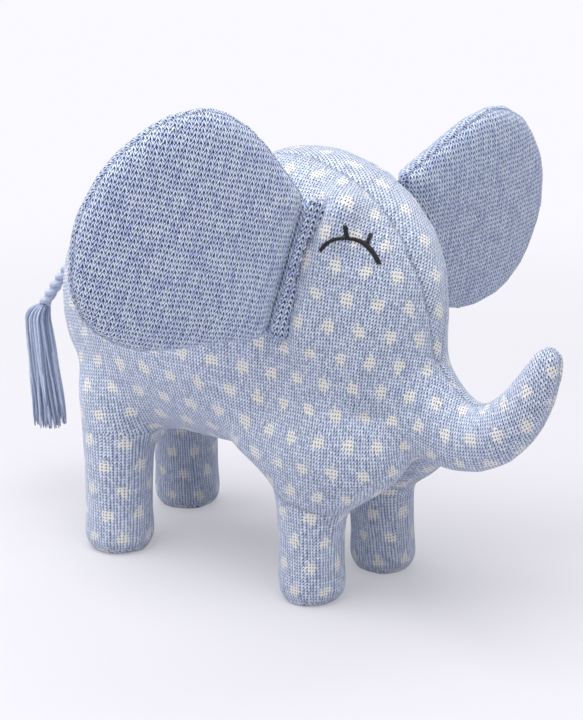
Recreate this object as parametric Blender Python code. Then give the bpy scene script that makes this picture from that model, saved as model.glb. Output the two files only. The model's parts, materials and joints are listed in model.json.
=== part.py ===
"""A knitted stuffed elephant, 0.2 m tall: cover panels, fibre filling, flapping ears and a tasselled tail.

The toy faces +X, its left side is +Y, and it stands on the floor at Z = 0.
"""

import math

import bmesh
import bpy
import numpy as np
from mathutils import Matrix, Vector
from mathutils.bvhtree import BVHTree

MM = 0.001

# Cloth and fits
FABRIC = 1.8 * MM
CLEARANCE = 0.3 * MM
SOLE_THICKNESS = 2.0 * MM

# Torso: a barrel that lies along X
TORSO_LENGTH = 178.0 * MM
TORSO_MID_X = -9.0 * MM
TORSO_MID_Z = 113.0 * MM
TORSO_HEIGHT = 116.0 * MM
TORSO_WIDTH = 90.0 * MM
TORSO_SWELL = (3.0, 2.2)
TORSO_SECTION = 2.25
BELLY_GUSSET_WIDTH = 40.0 * MM

# Head: a dome that stands on end and tapers to the face
HEAD_MID_X = 48.0 * MM
HEAD_MID_Z = 128.0 * MM
HEAD_HEIGHT = 128.0 * MM
HEAD_LEAN = 13.0 * MM
HEAD_WIDTH = 78.0 * MM
HEAD_FRONT_REACH = 55.0 * MM
HEAD_BACK_REACH = 46.0 * MM
CROWN_LENGTH_SWELL = (2.7, 2.0)
CROWN_WIDTH_SWELL = (3.2, 2.2)
CHIN_LENGTH_SWELL = (3.0, 2.0)
CHIN_WIDTH_SWELL = (2.6, 2.0)
FACE_SECTION = 1.85
NAPE_SECTION = 2.2
FOREHEAD_GUSSET_WIDTH = 22.0 * MM
FOREHEAD_GUSSET_TAPER_Z = 154.0 * MM
FOREHEAD_GUSSET_END_Z = 103.0 * MM
FOREHEAD_GUSSET_END_WIDTH = 2.5 * MM

# Trunk: a curled, tapering tube in the plane Y = 0
TRUNK_ROUTE = [(84, 99), (99, 86), (115, 80), (130, 83.5), (142, 95.5), (149, 108.5), (153, 118.5)]
TRUNK_ROOT_RADIUS = 21.0 * MM
TRUNK_BEND_RADIUS = 15.6 * MM
TRUNK_TIP_RADIUS = 6.6 * MM
TRUNK_BEND_SHARE = 1 / 3

# Legs: stub tubes with flat soles
FRONT_FOOT_X = 57.5 * MM
REAR_FOOT_X = -57.0 * MM
FRONT_FOOT_STRIDE = -5.0 * MM
REAR_FOOT_STRIDE = 12.0 * MM
FRONT_FOOT_HALF_SPACING = 23.5 * MM
REAR_FOOT_HALF_SPACING = 31.0 * MM
FRONT_FOOT_RADIUS = 14.4 * MM
REAR_FOOT_RADIUS = 15.6 * MM
FOOT_EDGE_RADIUS = 4.0 * MM
FRONT_THIGH_X = 50.0 * MM
REAR_THIGH_X = -57.5 * MM
THIGH_HALF_SPACING = 19.0 * MM
FRONT_THIGH_HALF_WIDTH = 18.0 * MM
FRONT_THIGH_HALF_LENGTH = 42.0 * MM
REAR_THIGH_HALF_WIDTH = 22.5 * MM
REAR_THIGH_HALF_LENGTH = 26.0 * MM
LEG_TOP_Z = 101.0 * MM
THIGH_SHOULDER = 0.72

# Ears: padded leaves sewn along a straight root, seen here for the right ear
EAR_ROOT_TOP = (58.5 * MM, -38.0 * MM, 179.5 * MM)
EAR_ROOT_BOTTOM = (46.5 * MM, -49.0 * MM, 121.5 * MM)
RIGHT_EAR_SWEEP = 28.0
LEFT_EAR_SWEEP = -12.0
LEFT_EAR_DROOP = 9.0
LEFT_EAR_SET_DOWN = 3.0 * MM
EAR_LENGTH = 87.5 * MM
EAR_RISE = 55.5 * MM
EAR_DROP = 41.5 * MM
EAR_OUTLINE = [(0.19, 0.79), (0.38, 0.965), (0.56, 1.0), (0.74, 0.86), (0.90, 0.58), (0.99, 0.23),
               (1.0, -0.14), (0.945, -0.58), (0.83, -0.86), (0.65, -1.0), (0.45, -0.98), (0.225, -0.84)]
EAR_FRONT_EDGE = 1.4 * MM
EAR_BACK_EDGE = 4.6 * MM
EAR_FRONT_CROWN = 6.0 * MM
EAR_BACK_CROWN = 8.0 * MM
EAR_CROWN_WIDTH = 26.0 * MM
EAR_EDGE_BULGE = 1.5 * MM
EAR_BAND_WIDTH = 6.0 * MM
EAR_BAND_DEPTH = 24.0 * MM

# Eyes: closed lids in satin stitch, an arch with two lashes
EYE_MID_X = 77.0 * MM
EYE_MID_Z = 141.6 * MM
EYE_RADIUS = 13.0 * MM
EYE_STITCH_WIDTH = 1.5 * MM
EYE_STITCH_HEIGHT = 0.9 * MM
EYE_ARC = (42.0, 142.0)
EYE_FLATNESS = 1.6
EYE_DIP = 0.3
LASH_ANGLES = (69.0, 96.0)
LASH_LENGTH = 3.0 * MM

# Tail: a short cord with a tassel, routed from the rump
TAIL_ROOT_Z = 127.0 * MM
TAIL_ROUTE = [(0.0, 0.0), (-7.7, -7.0), (-17.7, -18.0), (-25.7, -28.0)]
TAIL_RADIUS = 3.0 * MM
KNOT_RADIUS = 4.6 * MM
TASSEL_LENGTH = 54.0 * MM
TASSEL_TOP_RADIUS = 4.6 * MM
TASSEL_WAIST_RADIUS = 6.5 * MM
TASSEL_END_RADIUS = 8.0 * MM

# Facets
BARREL_SIDES = 22
BARREL_STEPS = 12
TUBE_SIDES = 14
SMALL_SIDES = 12
EAR_FREE_POINTS = 22
EAR_ROOT_POINTS = 5
EAR_RINGS = 3
EAR_ROLL_STEPS = 3
ROUTE_STEPS = 2
CAP_STEPS = 3
LEG_STEPS = 7
FAR = 400.0 * MM

KNIT_BLUE = (0.36, 0.50, 0.72)
EAR_BLUE = (0.33, 0.47, 0.69)
YARN_BLUE = (0.27, 0.37, 0.53)
FILL_WHITE = (0.86, 0.86, 0.84)
THREAD_BLACK = (0.02, 0.02, 0.025)


def clear_scene():
    for obj in list(bpy.data.objects):
        bpy.data.objects.remove(obj, do_unlink=True)


def finish(name, colour, roughness):
    """A Principled material of one colour."""
    material = bpy.data.materials.get(name) or bpy.data.materials.new(name)
    material.use_nodes = True
    shader = material.node_tree.nodes["Principled BSDF"]
    shader.inputs["Base Color"].default_value = (*colour, 1.0)
    shader.inputs["Roughness"].default_value = roughness
    shader.inputs["Metallic"].default_value = 0.0
    material.diffuse_color = (*colour, 1.0)
    return material


def place(name, mesh_data, material=None, parent=None):
    """Links a mesh as a named object, under its parent empty if it has one."""
    obj = bpy.data.objects.new(name, mesh_data)
    bpy.context.scene.collection.objects.link(obj)
    if material:
        mesh_data.materials.clear()
        mesh_data.materials.append(material)
    if parent:
        obj.parent = parent
    return obj


def mesh_of(bm, name):
    """Turns a bmesh into a mesh with its faces pointing out."""
    bmesh.ops.recalc_face_normals(bm, faces=bm.faces)
    mesh = bpy.data.meshes.new(name)
    bm.to_mesh(mesh)
    bm.free()
    return mesh


def loft(rings, name):
    """A closed skin over rings of equal count. A ring of one point is a pole, and an open end is capped."""
    bm = bmesh.new()
    loops = [[bm.verts.new(point) for point in ring] for ring in rings]
    for low, high in zip(loops, loops[1:]):
        count = max(len(low), len(high))
        for i in range(count):
            j = (i + 1) % count
            if len(low) == 1:
                bm.faces.new((low[0], high[i], high[j]))
            elif len(high) == 1:
                bm.faces.new((low[j], low[i], high[0]))
            else:
                bm.faces.new((low[i], low[j], high[j], high[i]))
    for end in (loops[0], loops[-1]):
        if len(end) > 1:
            bm.faces.new(end)
    bmesh.ops.triangulate(bm, faces=bm.faces)
    return mesh_of(bm, name)


def box(low, high, name):
    """A block between two corners."""
    bm = bmesh.new()
    bmesh.ops.create_cube(bm, size=1.0)
    for vert in bm.verts:
        vert.co = [a + (b - a) * (c + 0.5) for a, b, c in zip(low, high, vert.co)]
    return mesh_of(bm, name)


def prism(outline, low, high, name, axis="x"):
    """An outline of pairs, extruded along one axis: pairs are (y, z) along x, (x, z) along y."""
    def point(pair, depth):
        if axis == "x":
            return (depth, pair[0], pair[1])
        return (pair[0], depth, pair[1])
    return loft([[point(pair, depth) for pair in outline] for depth in (low, high)], name)


def combine(mesh, operation, *cutters):
    """The exact Boolean of a mesh with each cutter in turn."""
    work = place("work", mesh)
    helpers = []
    for cutter in cutters:
        helper = place("cutter", cutter)
        helper.hide_render = True
        helper.display_type = "WIRE"
        helpers.append(helper)
        modifier = work.modifiers.new("cut", "BOOLEAN")
        modifier.operation = operation
        modifier.solver = "EXACT"
        modifier.object = helper
    bpy.context.view_layer.update()
    graph = bpy.context.evaluated_depsgraph_get()
    result = bpy.data.meshes.new_from_object(work.evaluated_get(graph))
    for obj in [work, *helpers]:
        bpy.data.objects.remove(obj, do_unlink=True)
    return result


def squircle(angle, power):
    """A point of the unit superellipse."""
    c, s = math.cos(angle), math.sin(angle)
    return math.copysign(abs(c) ** (2 / power), c), math.copysign(abs(s) ** (2 / power), s)


def swell(t, rise, fall):
    """How far a form has swollen at t, from 0 at its end to 1 at its middle."""
    return max(0.0, 1.0 - abs(t) ** rise) ** (1.0 / fall)


def level_ring(middle, along, across, sides):
    """A level ring of points with its half length along X and its half width across Y."""
    x, y, z = middle
    angles = [2 * math.pi * i / sides for i in range(sides)]
    return [(x + along * math.cos(a), y + across * math.sin(a), z) for a in angles]


def stations(count):
    """Places from -1 to 1, closer together towards both ends."""
    return [-math.cos(math.pi * i / count) for i in range(count + 1)]


def smooth(points, steps):
    """Catmull-Rom points through a route, with each span cut into steps."""
    points = [np.array(point, float) for point in points]
    points = [2 * points[0] - points[1], *points, 2 * points[-1] - points[-2]]
    out = []
    for a, b, c, d in zip(points, points[1:], points[2:], points[3:]):
        for i in range(steps):
            t = i / steps
            square = (2 * a - 5 * b + 4 * c - d) * t**2
            cube = (3 * b - a - 3 * c + d) * t**3
            out.append(0.5 * (2 * b + (c - a) * t + square + cube))
    out.append(points[-2])
    return out


def torso(inset, sides=BARREL_SIDES):
    """The barrel of the body, drawn in by inset: full along its length, with a round rump and chest."""
    rings = []
    for t in stations(BARREL_STEPS):
        full = swell(t, *TORSO_SWELL)
        x = TORSO_MID_X + (TORSO_LENGTH / 2 - inset) * t
        if full == 0.0:
            rings.append([(x, 0.0, TORSO_MID_Z)])
            continue
        ring = []
        for i in range(sides):
            across, along = squircle(2 * math.pi * i / sides, TORSO_SECTION)
            y = (TORSO_WIDTH / 2 - inset) * full * across
            ring.append((x, y, TORSO_MID_Z + (TORSO_HEIGHT / 2 - inset) * full * along))
        rings.append(ring)
    return loft(rings, "torso")


def head(inset, sides=BARREL_SIDES):
    """The dome of the head, drawn in by inset: round on top, broad at the cheeks, narrower to the face."""
    rings = []
    for t in stations(BARREL_STEPS):
        z = HEAD_MID_Z + (HEAD_HEIGHT / 2 - inset) * t
        if abs(t) > 1 - 1e-9:
            rings.append([(HEAD_MID_X - HEAD_LEAN * max(t, 0.0), 0.0, z)])
            continue
        length = swell(t, *(CROWN_LENGTH_SWELL if t > 0 else CHIN_LENGTH_SWELL))
        width = swell(t, *(CROWN_WIDTH_SWELL if t > 0 else CHIN_WIDTH_SWELL))
        middle = HEAD_MID_X - HEAD_LEAN * max(t, 0.0) ** 2
        ring = []
        for i in range(sides):
            angle = 2 * math.pi * i / sides
            forward = math.cos(angle) > 0
            along, across = squircle(angle, FACE_SECTION if forward else NAPE_SECTION)
            reach = (HEAD_FRONT_REACH if forward else HEAD_BACK_REACH) - inset
            ring.append((middle + reach * length * along, (HEAD_WIDTH / 2 - inset) * width * across, z))
        rings.append(ring)
    return loft(rings, "head")


def sweep(route, radii, inset, sides, name, round_start=False):
    """A tube along a route with a round far end, and a round near end if asked."""
    route = [Vector(point) for point in route]
    tangents = [(b - a).normalized() for a, b in zip([route[0], *route], [*route[1:], route[-1]])]
    middles = [(route[i], tangents[i], radii[i] - inset) for i in range(len(route))]

    def dome(point, tangent, radius, sign):
        rings = []
        for i in range(1, CAP_STEPS + 1):
            a = math.pi / 2 * i / CAP_STEPS
            rings.append((point + tangent * sign * radius * math.sin(a), tangent, radius * math.cos(a)))
        return rings

    track = middles + dome(*middles[-1], 1)
    if round_start:
        track = dome(*middles[0], -1)[::-1] + track
    rings = []
    side = Vector((0, 1, 0))
    for point, tangent, radius in track:
        if radius < 1e-7:
            rings.append([point])
            continue
        up = tangent.cross(side).normalized()
        across = up.cross(tangent).normalized()
        angles = [2 * math.pi * i / sides for i in range(sides)]
        rings.append([point + (across * math.cos(a) + up * math.sin(a)) * radius for a in angles])
    return loft(rings, name)


def trunk(inset, sides=TUBE_SIDES):
    """The curled trunk, which tapers from its root through the bend to the tip."""
    flat = smooth(TRUNK_ROUTE, ROUTE_STEPS)
    route = [(x * MM, 0.0, z * MM) for x, z in flat]
    radii = []
    for i in range(len(route)):
        t = i / (len(route) - 1)
        if t < TRUNK_BEND_SHARE:
            share = t / TRUNK_BEND_SHARE
            radii.append(TRUNK_ROOT_RADIUS + (TRUNK_BEND_RADIUS - TRUNK_ROOT_RADIUS) * share)
        else:
            share = (t - TRUNK_BEND_SHARE) / (1 - TRUNK_BEND_SHARE)
            radii.append(TRUNK_BEND_RADIUS + (TRUNK_TIP_RADIUS - TRUNK_BEND_RADIUS) * share)
    return sweep(route, radii, inset, sides, "trunk")


def leg(stance, inset, bottom, sides=TUBE_SIDES):
    """A leg that leans from its foot to its thigh and swells to a round top. Its lower edge is rounded."""
    x, y, top_x, top_y, foot, half_length, half_width = stance
    profile = []
    for i in reversed(range(CAP_STEPS + 1)):
        a = math.pi / 2 * i / CAP_STEPS
        radius = foot - FOOT_EDGE_RADIUS * (1 - math.cos(a)) - inset
        profile.append((bottom + FOOT_EDGE_RADIUS * (1 - math.sin(a)), radius, radius))
    base = bottom + FOOT_EDGE_RADIUS
    for i in range(1, LEG_STEPS + 1):
        t = i / LEG_STEPS
        close = max(0.0, (t - THIGH_SHOULDER) / (1 - THIGH_SHOULDER))
        drawn_in = math.sqrt(1 - close**2)
        along = (foot + (half_length - foot) * t**3 - inset) * drawn_in
        across = (foot + (half_width - foot) * t**2 - inset) * drawn_in
        profile.append((base + (LEG_TOP_Z - inset - base) * t, along, across))
    rings = []
    for z, along, across in profile:
        lean = (z / LEG_TOP_Z) ** 2
        middle = (x + (top_x - x) * lean, y + (top_y - y) * lean, z)
        rings.append(level_ring(middle, along, across, sides) if along > 0.0 else [middle])
    return loft(rings, "leg")


def stances():
    """Each leg's foot and thigh places and sizes, by name. A stride puts the right foot ahead."""
    out = {}
    for name, side in (("right", -1), ("left", 1)):
        thigh_y = side * THIGH_HALF_SPACING
        foot = (FRONT_FOOT_X - side * FRONT_FOOT_STRIDE / 2, side * FRONT_FOOT_HALF_SPACING)
        thigh = (FRONT_FOOT_RADIUS, FRONT_THIGH_HALF_LENGTH, FRONT_THIGH_HALF_WIDTH)
        out[f"front_{name}"] = (*foot, FRONT_THIGH_X, thigh_y, *thigh)
        foot = (REAR_FOOT_X - side * REAR_FOOT_STRIDE / 2, side * REAR_FOOT_HALF_SPACING)
        thigh = (REAR_FOOT_RADIUS, REAR_THIGH_HALF_LENGTH, REAR_THIGH_HALF_WIDTH)
        out[f"rear_{name}"] = (*foot, REAR_THIGH_X, thigh_y, *thigh)
    return out


def past_middle(side):
    """The space that a panel on one side leaves free, with half of the seam's gap: -1 is right, 1 left."""
    low, high = sorted((side * CLEARANCE / 2, -side * FAR))
    return box((-FAR, low, -FAR), (FAR, high, FAR), "half")


def belly_prism(grow):
    """The strip under the body that the belly gusset fills."""
    half = BELLY_GUSSET_WIDTH / 2 + grow
    return box((-FAR, -half, 0.0), (FAR, half, TORSO_MID_Z - TORSO_HEIGHT / 4), "belly")


def forehead_prism(grow):
    """The strip over the head that the forehead gusset fills, tapering to the root of the trunk."""
    wide = FOREHEAD_GUSSET_WIDTH / 2 + grow
    narrow = FOREHEAD_GUSSET_END_WIDTH / 2 + grow
    end = FOREHEAD_GUSSET_END_Z - grow
    outline = [(-narrow, end), (narrow, end), (wide, FOREHEAD_GUSSET_TAPER_Z), (wide, FAR), (-wide, FAR),
               (-wide, FOREHEAD_GUSSET_TAPER_Z)]
    return prism(outline, -FAR, FAR, "forehead")


def build_torso(root, knit, fill):
    """Two side panels and the belly gusset round the body's filling, open at the neck and the legs."""
    shell = combine(torso(0.0), "DIFFERENCE", torso(FABRIC))
    holes = [head(FABRIC)]
    for stance in stances().values():
        holes.append(leg(stance, FABRIC, 0.0))
    shell = combine(shell, "DIFFERENCE", *holes)
    belly = combine(shell.copy(), "INTERSECT", belly_prism(-CLEARANCE / 2))
    place("belly_gusset", belly, knit, root)
    shell = combine(shell, "DIFFERENCE", belly_prism(CLEARANCE / 2))
    for name, side in (("right", -1), ("left", 1)):
        place(f"torso_{name}_panel", combine(shell.copy(), "DIFFERENCE", past_middle(side)), knit, root)
    place("torso_filling", torso(FABRIC + CLEARANCE), fill, root)


def build_head(root, knit, fill):
    """Two side panels and the forehead gusset round the head's filling, open at the neck and the trunk."""
    shell = combine(head(0.0), "DIFFERENCE", head(FABRIC), torso(-CLEARANCE), trunk(FABRIC))
    gusset = combine(shell.copy(), "INTERSECT", forehead_prism(-CLEARANCE / 2))
    place("forehead_gusset", gusset, knit, root)
    shell = combine(shell, "DIFFERENCE", forehead_prism(CLEARANCE / 2))
    for name, side in (("right", -1), ("left", 1)):
        place(f"head_{name}_panel", combine(shell.copy(), "DIFFERENCE", past_middle(side)), knit, root)
    place("head_filling", combine(head(FABRIC + CLEARANCE), "DIFFERENCE", torso(FABRIC)), fill, root)


def build_trunk(root, knit, fill):
    """Two halves of the trunk's cover round its filling."""
    shell = combine(trunk(0.0), "DIFFERENCE", trunk(FABRIC), head(-CLEARANCE))
    for name, side in (("right", -1), ("left", 1)):
        place(f"trunk_{name}_panel", combine(shell.copy(), "DIFFERENCE", past_middle(side)), knit, root)
    place("trunk_filling", combine(trunk(FABRIC + CLEARANCE), "DIFFERENCE", head(FABRIC)), fill, root)


def build_legs(root, knit, fill):
    """Each leg's cover, filling and sole."""
    floor = SOLE_THICKNESS + CLEARANCE
    for name, stance in stances().items():
        larger = (torso(-CLEARANCE), head(-CLEARANCE))
        cover = combine(leg(stance, 0.0, floor), "DIFFERENCE", leg(stance, FABRIC, 0.0), *larger)
        place(f"{name}_leg_cover", cover, knit, root)
        stuffing = leg(stance, FABRIC + CLEARANCE, floor)
        stuffing = combine(stuffing, "DIFFERENCE", torso(FABRIC), head(-CLEARANCE))
        place(f"{name}_leg_filling", stuffing, fill, root)
        x, y, _, _, foot, _, _ = stance
        rings = []
        for z, radius in ((0.0, foot - FOOT_EDGE_RADIUS), (SOLE_THICKNESS, foot - FOOT_EDGE_RADIUS / 2)):
            rings.append(level_ring((x, y, z), radius, radius, TUBE_SIDES))
        place(f"{name}_sole", loft(rings, "sole"), knit, root)


def ear_outline(droop):
    """The ear's edge in its own plane: a straight root on U = 0, and a free edge that droops by an angle."""
    half = (Vector(EAR_ROOT_TOP) - Vector(EAR_ROOT_BOTTOM)).length / 2
    c, d = math.cos(math.radians(droop)), math.sin(math.radians(droop))
    flat = [(u * EAR_LENGTH, v * (EAR_RISE if v > 0 else EAR_DROP)) for u, v in EAR_OUTLINE]
    hung = [(u * c + v * d, v * c - u * d) for u, v in flat]
    free = smooth([(0.0, half), *hung, (0.0, -half)], 4)
    picks = np.linspace(0, len(free) - 1, EAR_FREE_POINTS)
    free = [free[int(round(pick))] for pick in picks]
    root = [np.array((0.0, -half + 2 * half * i / EAR_ROOT_POINTS)) for i in range(1, EAR_ROOT_POINTS)]
    return free + root


def ear_crown(distance, edge, crown):
    """The height of an ear's face over its seam, at a distance in from the edge."""
    t = min(distance / EAR_CROWN_WIDTH, 1.0)
    return edge + crown * math.sqrt(1.0 - (1.0 - t) ** 2)


def ear_rings(outline, heights, first=0):
    """Rings from an ear's edge to its middle, each point at its height. The first few follow the seam."""
    middle = np.mean(outline, axis=0)
    gap = FABRIC + CLEARANCE
    seam_rings = [0.0, FABRIC, gap]
    rings = []
    for i in range(first, len(seam_rings) + EAR_RINGS):
        ring = []
        for point in outline:
            arm = middle - point
            length = np.linalg.norm(arm)
            if i < len(seam_rings):
                distance = seam_rings[i]
            else:
                share = (i - len(seam_rings) + 1) / (EAR_RINGS + 1)
                distance = gap + (length - gap) * share**1.4
            spot = point + arm * distance / length
            ring.append((spot[0], spot[1], heights(distance)))
        rings.append(ring)
    rings.append([(middle[0], middle[1], heights(EAR_CROWN_WIDTH))])
    return rings


def ear_edge(outline, heights, face):
    """Rings round an ear's rolled edge. The root rolls about the hinge, and the free edge bulges less."""
    radius = (EAR_FRONT_EDGE + EAR_BACK_EDGE) / 2
    count = len(outline)
    rings = []
    for height in heights:
        roll = math.sqrt(max(0.0, 1.0 - (height / radius) ** 2))
        ring = []
        for i, point in enumerate(outline):
            along = outline[(i + 1) % count] - outline[i - 1]
            outward = np.array((-along[1], along[0])) / np.linalg.norm(along)
            bulge = EAR_EDGE_BULGE
            if point[0] == 0.0:
                outward = np.array((-1.0, 0.0))
                bulge = radius
            spot = point + outward * bulge * roll
            ring.append((spot[0], spot[1], face * height))
        rings.append(ring)
    return rings


def ear_solid(top, bottom, name):
    """A closed solid between an upper and a lower set of rings."""
    return loft([*reversed(top), *bottom], name)


def build_ear(root, knit, fill, name, side):
    """One ear on its hinge: a front panel, a back panel that wraps the edge, and wadding between them."""
    mirror = Vector((1, side * -1, 1))
    lower = Vector((0, 0, LEFT_EAR_SET_DOWN if side > 0 else 0))
    top = Vector(EAR_ROOT_TOP) * mirror - lower
    bottom = Vector(EAR_ROOT_BOTTOM) * mirror - lower
    up = (top - bottom).normalized()
    sweep_angle = math.radians(RIGHT_EAR_SWEEP if side < 0 else LEFT_EAR_SWEEP)
    out = Vector((-math.sin(sweep_angle), side * math.cos(sweep_angle), 0.0))
    out = (out - up * out.dot(up)).normalized()
    normal = out.cross(up)
    frame = Matrix((out, up, normal)).transposed().to_4x4()
    frame.translation = (top + bottom) / 2
    hinge = bpy.data.objects.new(f"{name}_ear_hinge", None)
    bpy.context.scene.collection.objects.link(hinge)
    hinge.parent = root
    hinge.matrix_local = frame

    face = side
    seam = (EAR_BACK_EDGE - EAR_FRONT_EDGE) / 2
    outline = ear_outline(0.0 if side < 0 else LEFT_EAR_DROOP)

    def front(distance):
        return face * (seam + ear_crown(distance, EAR_FRONT_EDGE, EAR_FRONT_CROWN))

    def front_inside(distance):
        return face * (seam + max(face * front(distance) - seam - FABRIC, CLEARANCE / 2))

    def back(distance):
        return face * (seam - ear_crown(distance, EAR_BACK_EDGE, EAR_BACK_CROWN))

    def back_inside(distance):
        return back(distance) + face * FABRIC

    def wadding_front(distance):
        return front_inside(distance) - face * CLEARANCE

    def wadding_back(distance):
        return back_inside(distance) + face * CLEARANCE

    def seam_face(distance):
        return face * (seam - CLEARANCE / 2)

    panel = ear_solid(ear_rings(outline, front), ear_rings(outline, front_inside), "ear_front")
    place(f"{name}_ear_front_panel", panel, knit, hinge)
    lip = ear_rings(outline, seam_face)[:2]
    roll = ear_edge(outline, np.linspace(-seam, seam - CLEARANCE / 2, EAR_ROLL_STEPS), face)
    inside = [*roll, *lip, *ear_rings(outline, back_inside, 1)]
    place(f"{name}_ear_back_panel", ear_solid(ear_rings(outline, back), inside, "ear_back"), knit, hinge)
    padding = (ear_rings(outline, wadding_front, 2), ear_rings(outline, wadding_back, 2))
    wadding = ear_solid(*padding, "ear_wadding")
    place(f"{name}_ear_wadding", wadding, fill, hinge)

    edge = (EAR_FRONT_EDGE + EAR_BACK_EDGE) / 2 + CLEARANCE
    half = (top - bottom).length / 2
    wide = EAR_BAND_WIDTH / 2
    band = box((-EAR_BAND_DEPTH, -half, -wide), (-edge, half, wide), "band")
    band.transform(frame)
    band = combine(band, "DIFFERENCE", head(-CLEARANCE), torso(-CLEARANCE))
    place(f"{name}_ear_root_band", band, knit, root)


def eye_outline():
    """The arch of a closed lid with its lashes, as one outline in X and Z. It dips towards the trunk."""
    def at(radius, angle):
        along = radius * math.cos(math.radians(angle))
        over = radius * math.sin(math.radians(angle))
        return (EYE_MID_X + along, EYE_MID_Z + EYE_FLATNESS * over - EYE_DIP * along)

    outer = EYE_RADIUS + EYE_STITCH_WIDTH / 2
    inner = EYE_RADIUS - EYE_STITCH_WIDTH / 2
    low, high = EYE_ARC
    lash_half = math.degrees(EYE_STITCH_WIDTH / 2 / outer)
    points = []
    angles = sorted([*np.linspace(low, high, 10), *LASH_ANGLES])
    for angle in angles:
        if angle in LASH_ANGLES:
            points.append(at(outer, angle - lash_half))
            points.append(at(outer + LASH_LENGTH, angle - lash_half * 0.6))
            points.append(at(outer + LASH_LENGTH, angle))
            points.append(at(outer, angle + lash_half))
        elif all(abs(angle - lash) > 2 * lash_half for lash in LASH_ANGLES):
            points.append(at(outer, angle))
    points += [at(inner, angle) for angle in np.linspace(high, low, 9)]
    return points


def build_eyes(root, thread):
    """Stitching that lies on each side of the head."""
    layer = combine(head(-CLEARANCE - EYE_STITCH_HEIGHT), "DIFFERENCE", head(-CLEARANCE))
    for name, side in (("right", -1), ("left", 1)):
        low, high = sorted((side * 2 * MM, side * FAR))
        stitches = prism(eye_outline(), low, high, "eye", axis="y")
        place(f"{name}_eye_stitching", combine(layer.copy(), "INTERSECT", stitches), thread, root)


def tail_root():
    """The middle of the cord's round end, seated on the rump at the tail's height."""
    bm = bmesh.new()
    bm.from_mesh(torso(0.0))
    rump = BVHTree.FromBMesh(bm)
    bm.free()
    spot, normal, _, _ = rump.ray_cast(Vector((-FAR, 0.0, TAIL_ROOT_Z)), Vector((1.0, 0.0, 0.0)))
    return spot + normal * (TAIL_RADIUS + CLEARANCE)


def build_tail(root, yarn):
    """The cord, hinged at the rump by its round end, and the tassel hinged below it."""
    tail_hinge = bpy.data.objects.new("tail_hinge", None)
    bpy.context.scene.collection.objects.link(tail_hinge)
    tail_hinge.parent = root
    tail_hinge.location = tail_root()
    route = [Vector((x * MM, 0.0, z * MM)) for x, z in smooth(TAIL_ROUTE, ROUTE_STEPS)]
    cord = sweep(route, [TAIL_RADIUS] * len(route), 0.0, SMALL_SIDES, "cord", True)
    place("tail_cord", cord, yarn, tail_hinge)

    heading = (route[-1] - route[-2]).normalized()
    tassel_hinge = bpy.data.objects.new("tassel_hinge", None)
    bpy.context.scene.collection.objects.link(tassel_hinge)
    tassel_hinge.parent = tail_hinge
    tassel_hinge.location = route[-1] + heading * (TAIL_RADIUS + CLEARANCE + KNOT_RADIUS)
    bm = bmesh.new()
    bmesh.ops.create_uvsphere(bm, u_segments=SMALL_SIDES, v_segments=8, radius=KNOT_RADIUS)
    place("tassel_knot", mesh_of(bm, "knot"), yarn, tassel_hinge)
    drop = KNOT_RADIUS + CLEARANCE
    profile = [(0.0, TASSEL_TOP_RADIUS * 0.7), (0.06, TASSEL_TOP_RADIUS), (0.4, TASSEL_WAIST_RADIUS),
               (0.8, TASSEL_END_RADIUS), (1.0, TASSEL_END_RADIUS * 0.9)]
    rings = []
    for share, radius in profile:
        rings.append(level_ring((0.0, 0.0, -drop - TASSEL_LENGTH * share), radius, radius, SMALL_SIDES))
    place("tassel_strands", loft(rings, "tassel"), yarn, tassel_hinge)


def centre_on_floor(root):
    """Moves the whole toy so that its origin lies below the middle of its box, without the tail."""
    bpy.context.view_layer.update()
    points = []
    for obj in bpy.data.objects:
        if obj.type == "MESH" and not obj.name.startswith(("tail", "tassel")):
            points += [obj.matrix_world @ vert.co for vert in obj.data.vertices]
    points = np.array(points)
    middle = (points.min(axis=0) + points.max(axis=0)) / 2
    root.location = (-middle[0], -middle[1], -points[:, 2].min())
    bpy.context.view_layer.update()


def main():
    clear_scene()
    knit = finish("knit_cover", KNIT_BLUE, 0.9)
    ear_knit = finish("ear_knit", EAR_BLUE, 0.9)
    fill = finish("fibre_filling", FILL_WHITE, 0.95)
    thread = finish("eye_thread", THREAD_BLACK, 0.55)
    yarn = finish("tail_yarn", YARN_BLUE, 0.9)
    root = bpy.data.objects.new("elephant", None)
    bpy.context.scene.collection.objects.link(root)
    build_torso(root, knit, fill)
    build_head(root, knit, fill)
    build_trunk(root, knit, fill)
    build_legs(root, knit, fill)
    for name, side in (("right", -1), ("left", 1)):
        build_ear(root, ear_knit, fill, name, side)
    build_eyes(root, thread)
    build_tail(root, yarn)
    centre_on_floor(root)


if __name__ == "__main__":
    main()
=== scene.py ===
"""Knitted stuffed elephant: the sewn cover, padded ears, stitched eyes and tail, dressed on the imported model."""

from __future__ import annotations

import json
import logging
import math
from collections.abc import Callable, Sequence
from dataclasses import dataclass, field
from enum import Enum

import bpy
import numpy as np
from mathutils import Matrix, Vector
from mathutils.bvhtree import BVHTree

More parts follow.
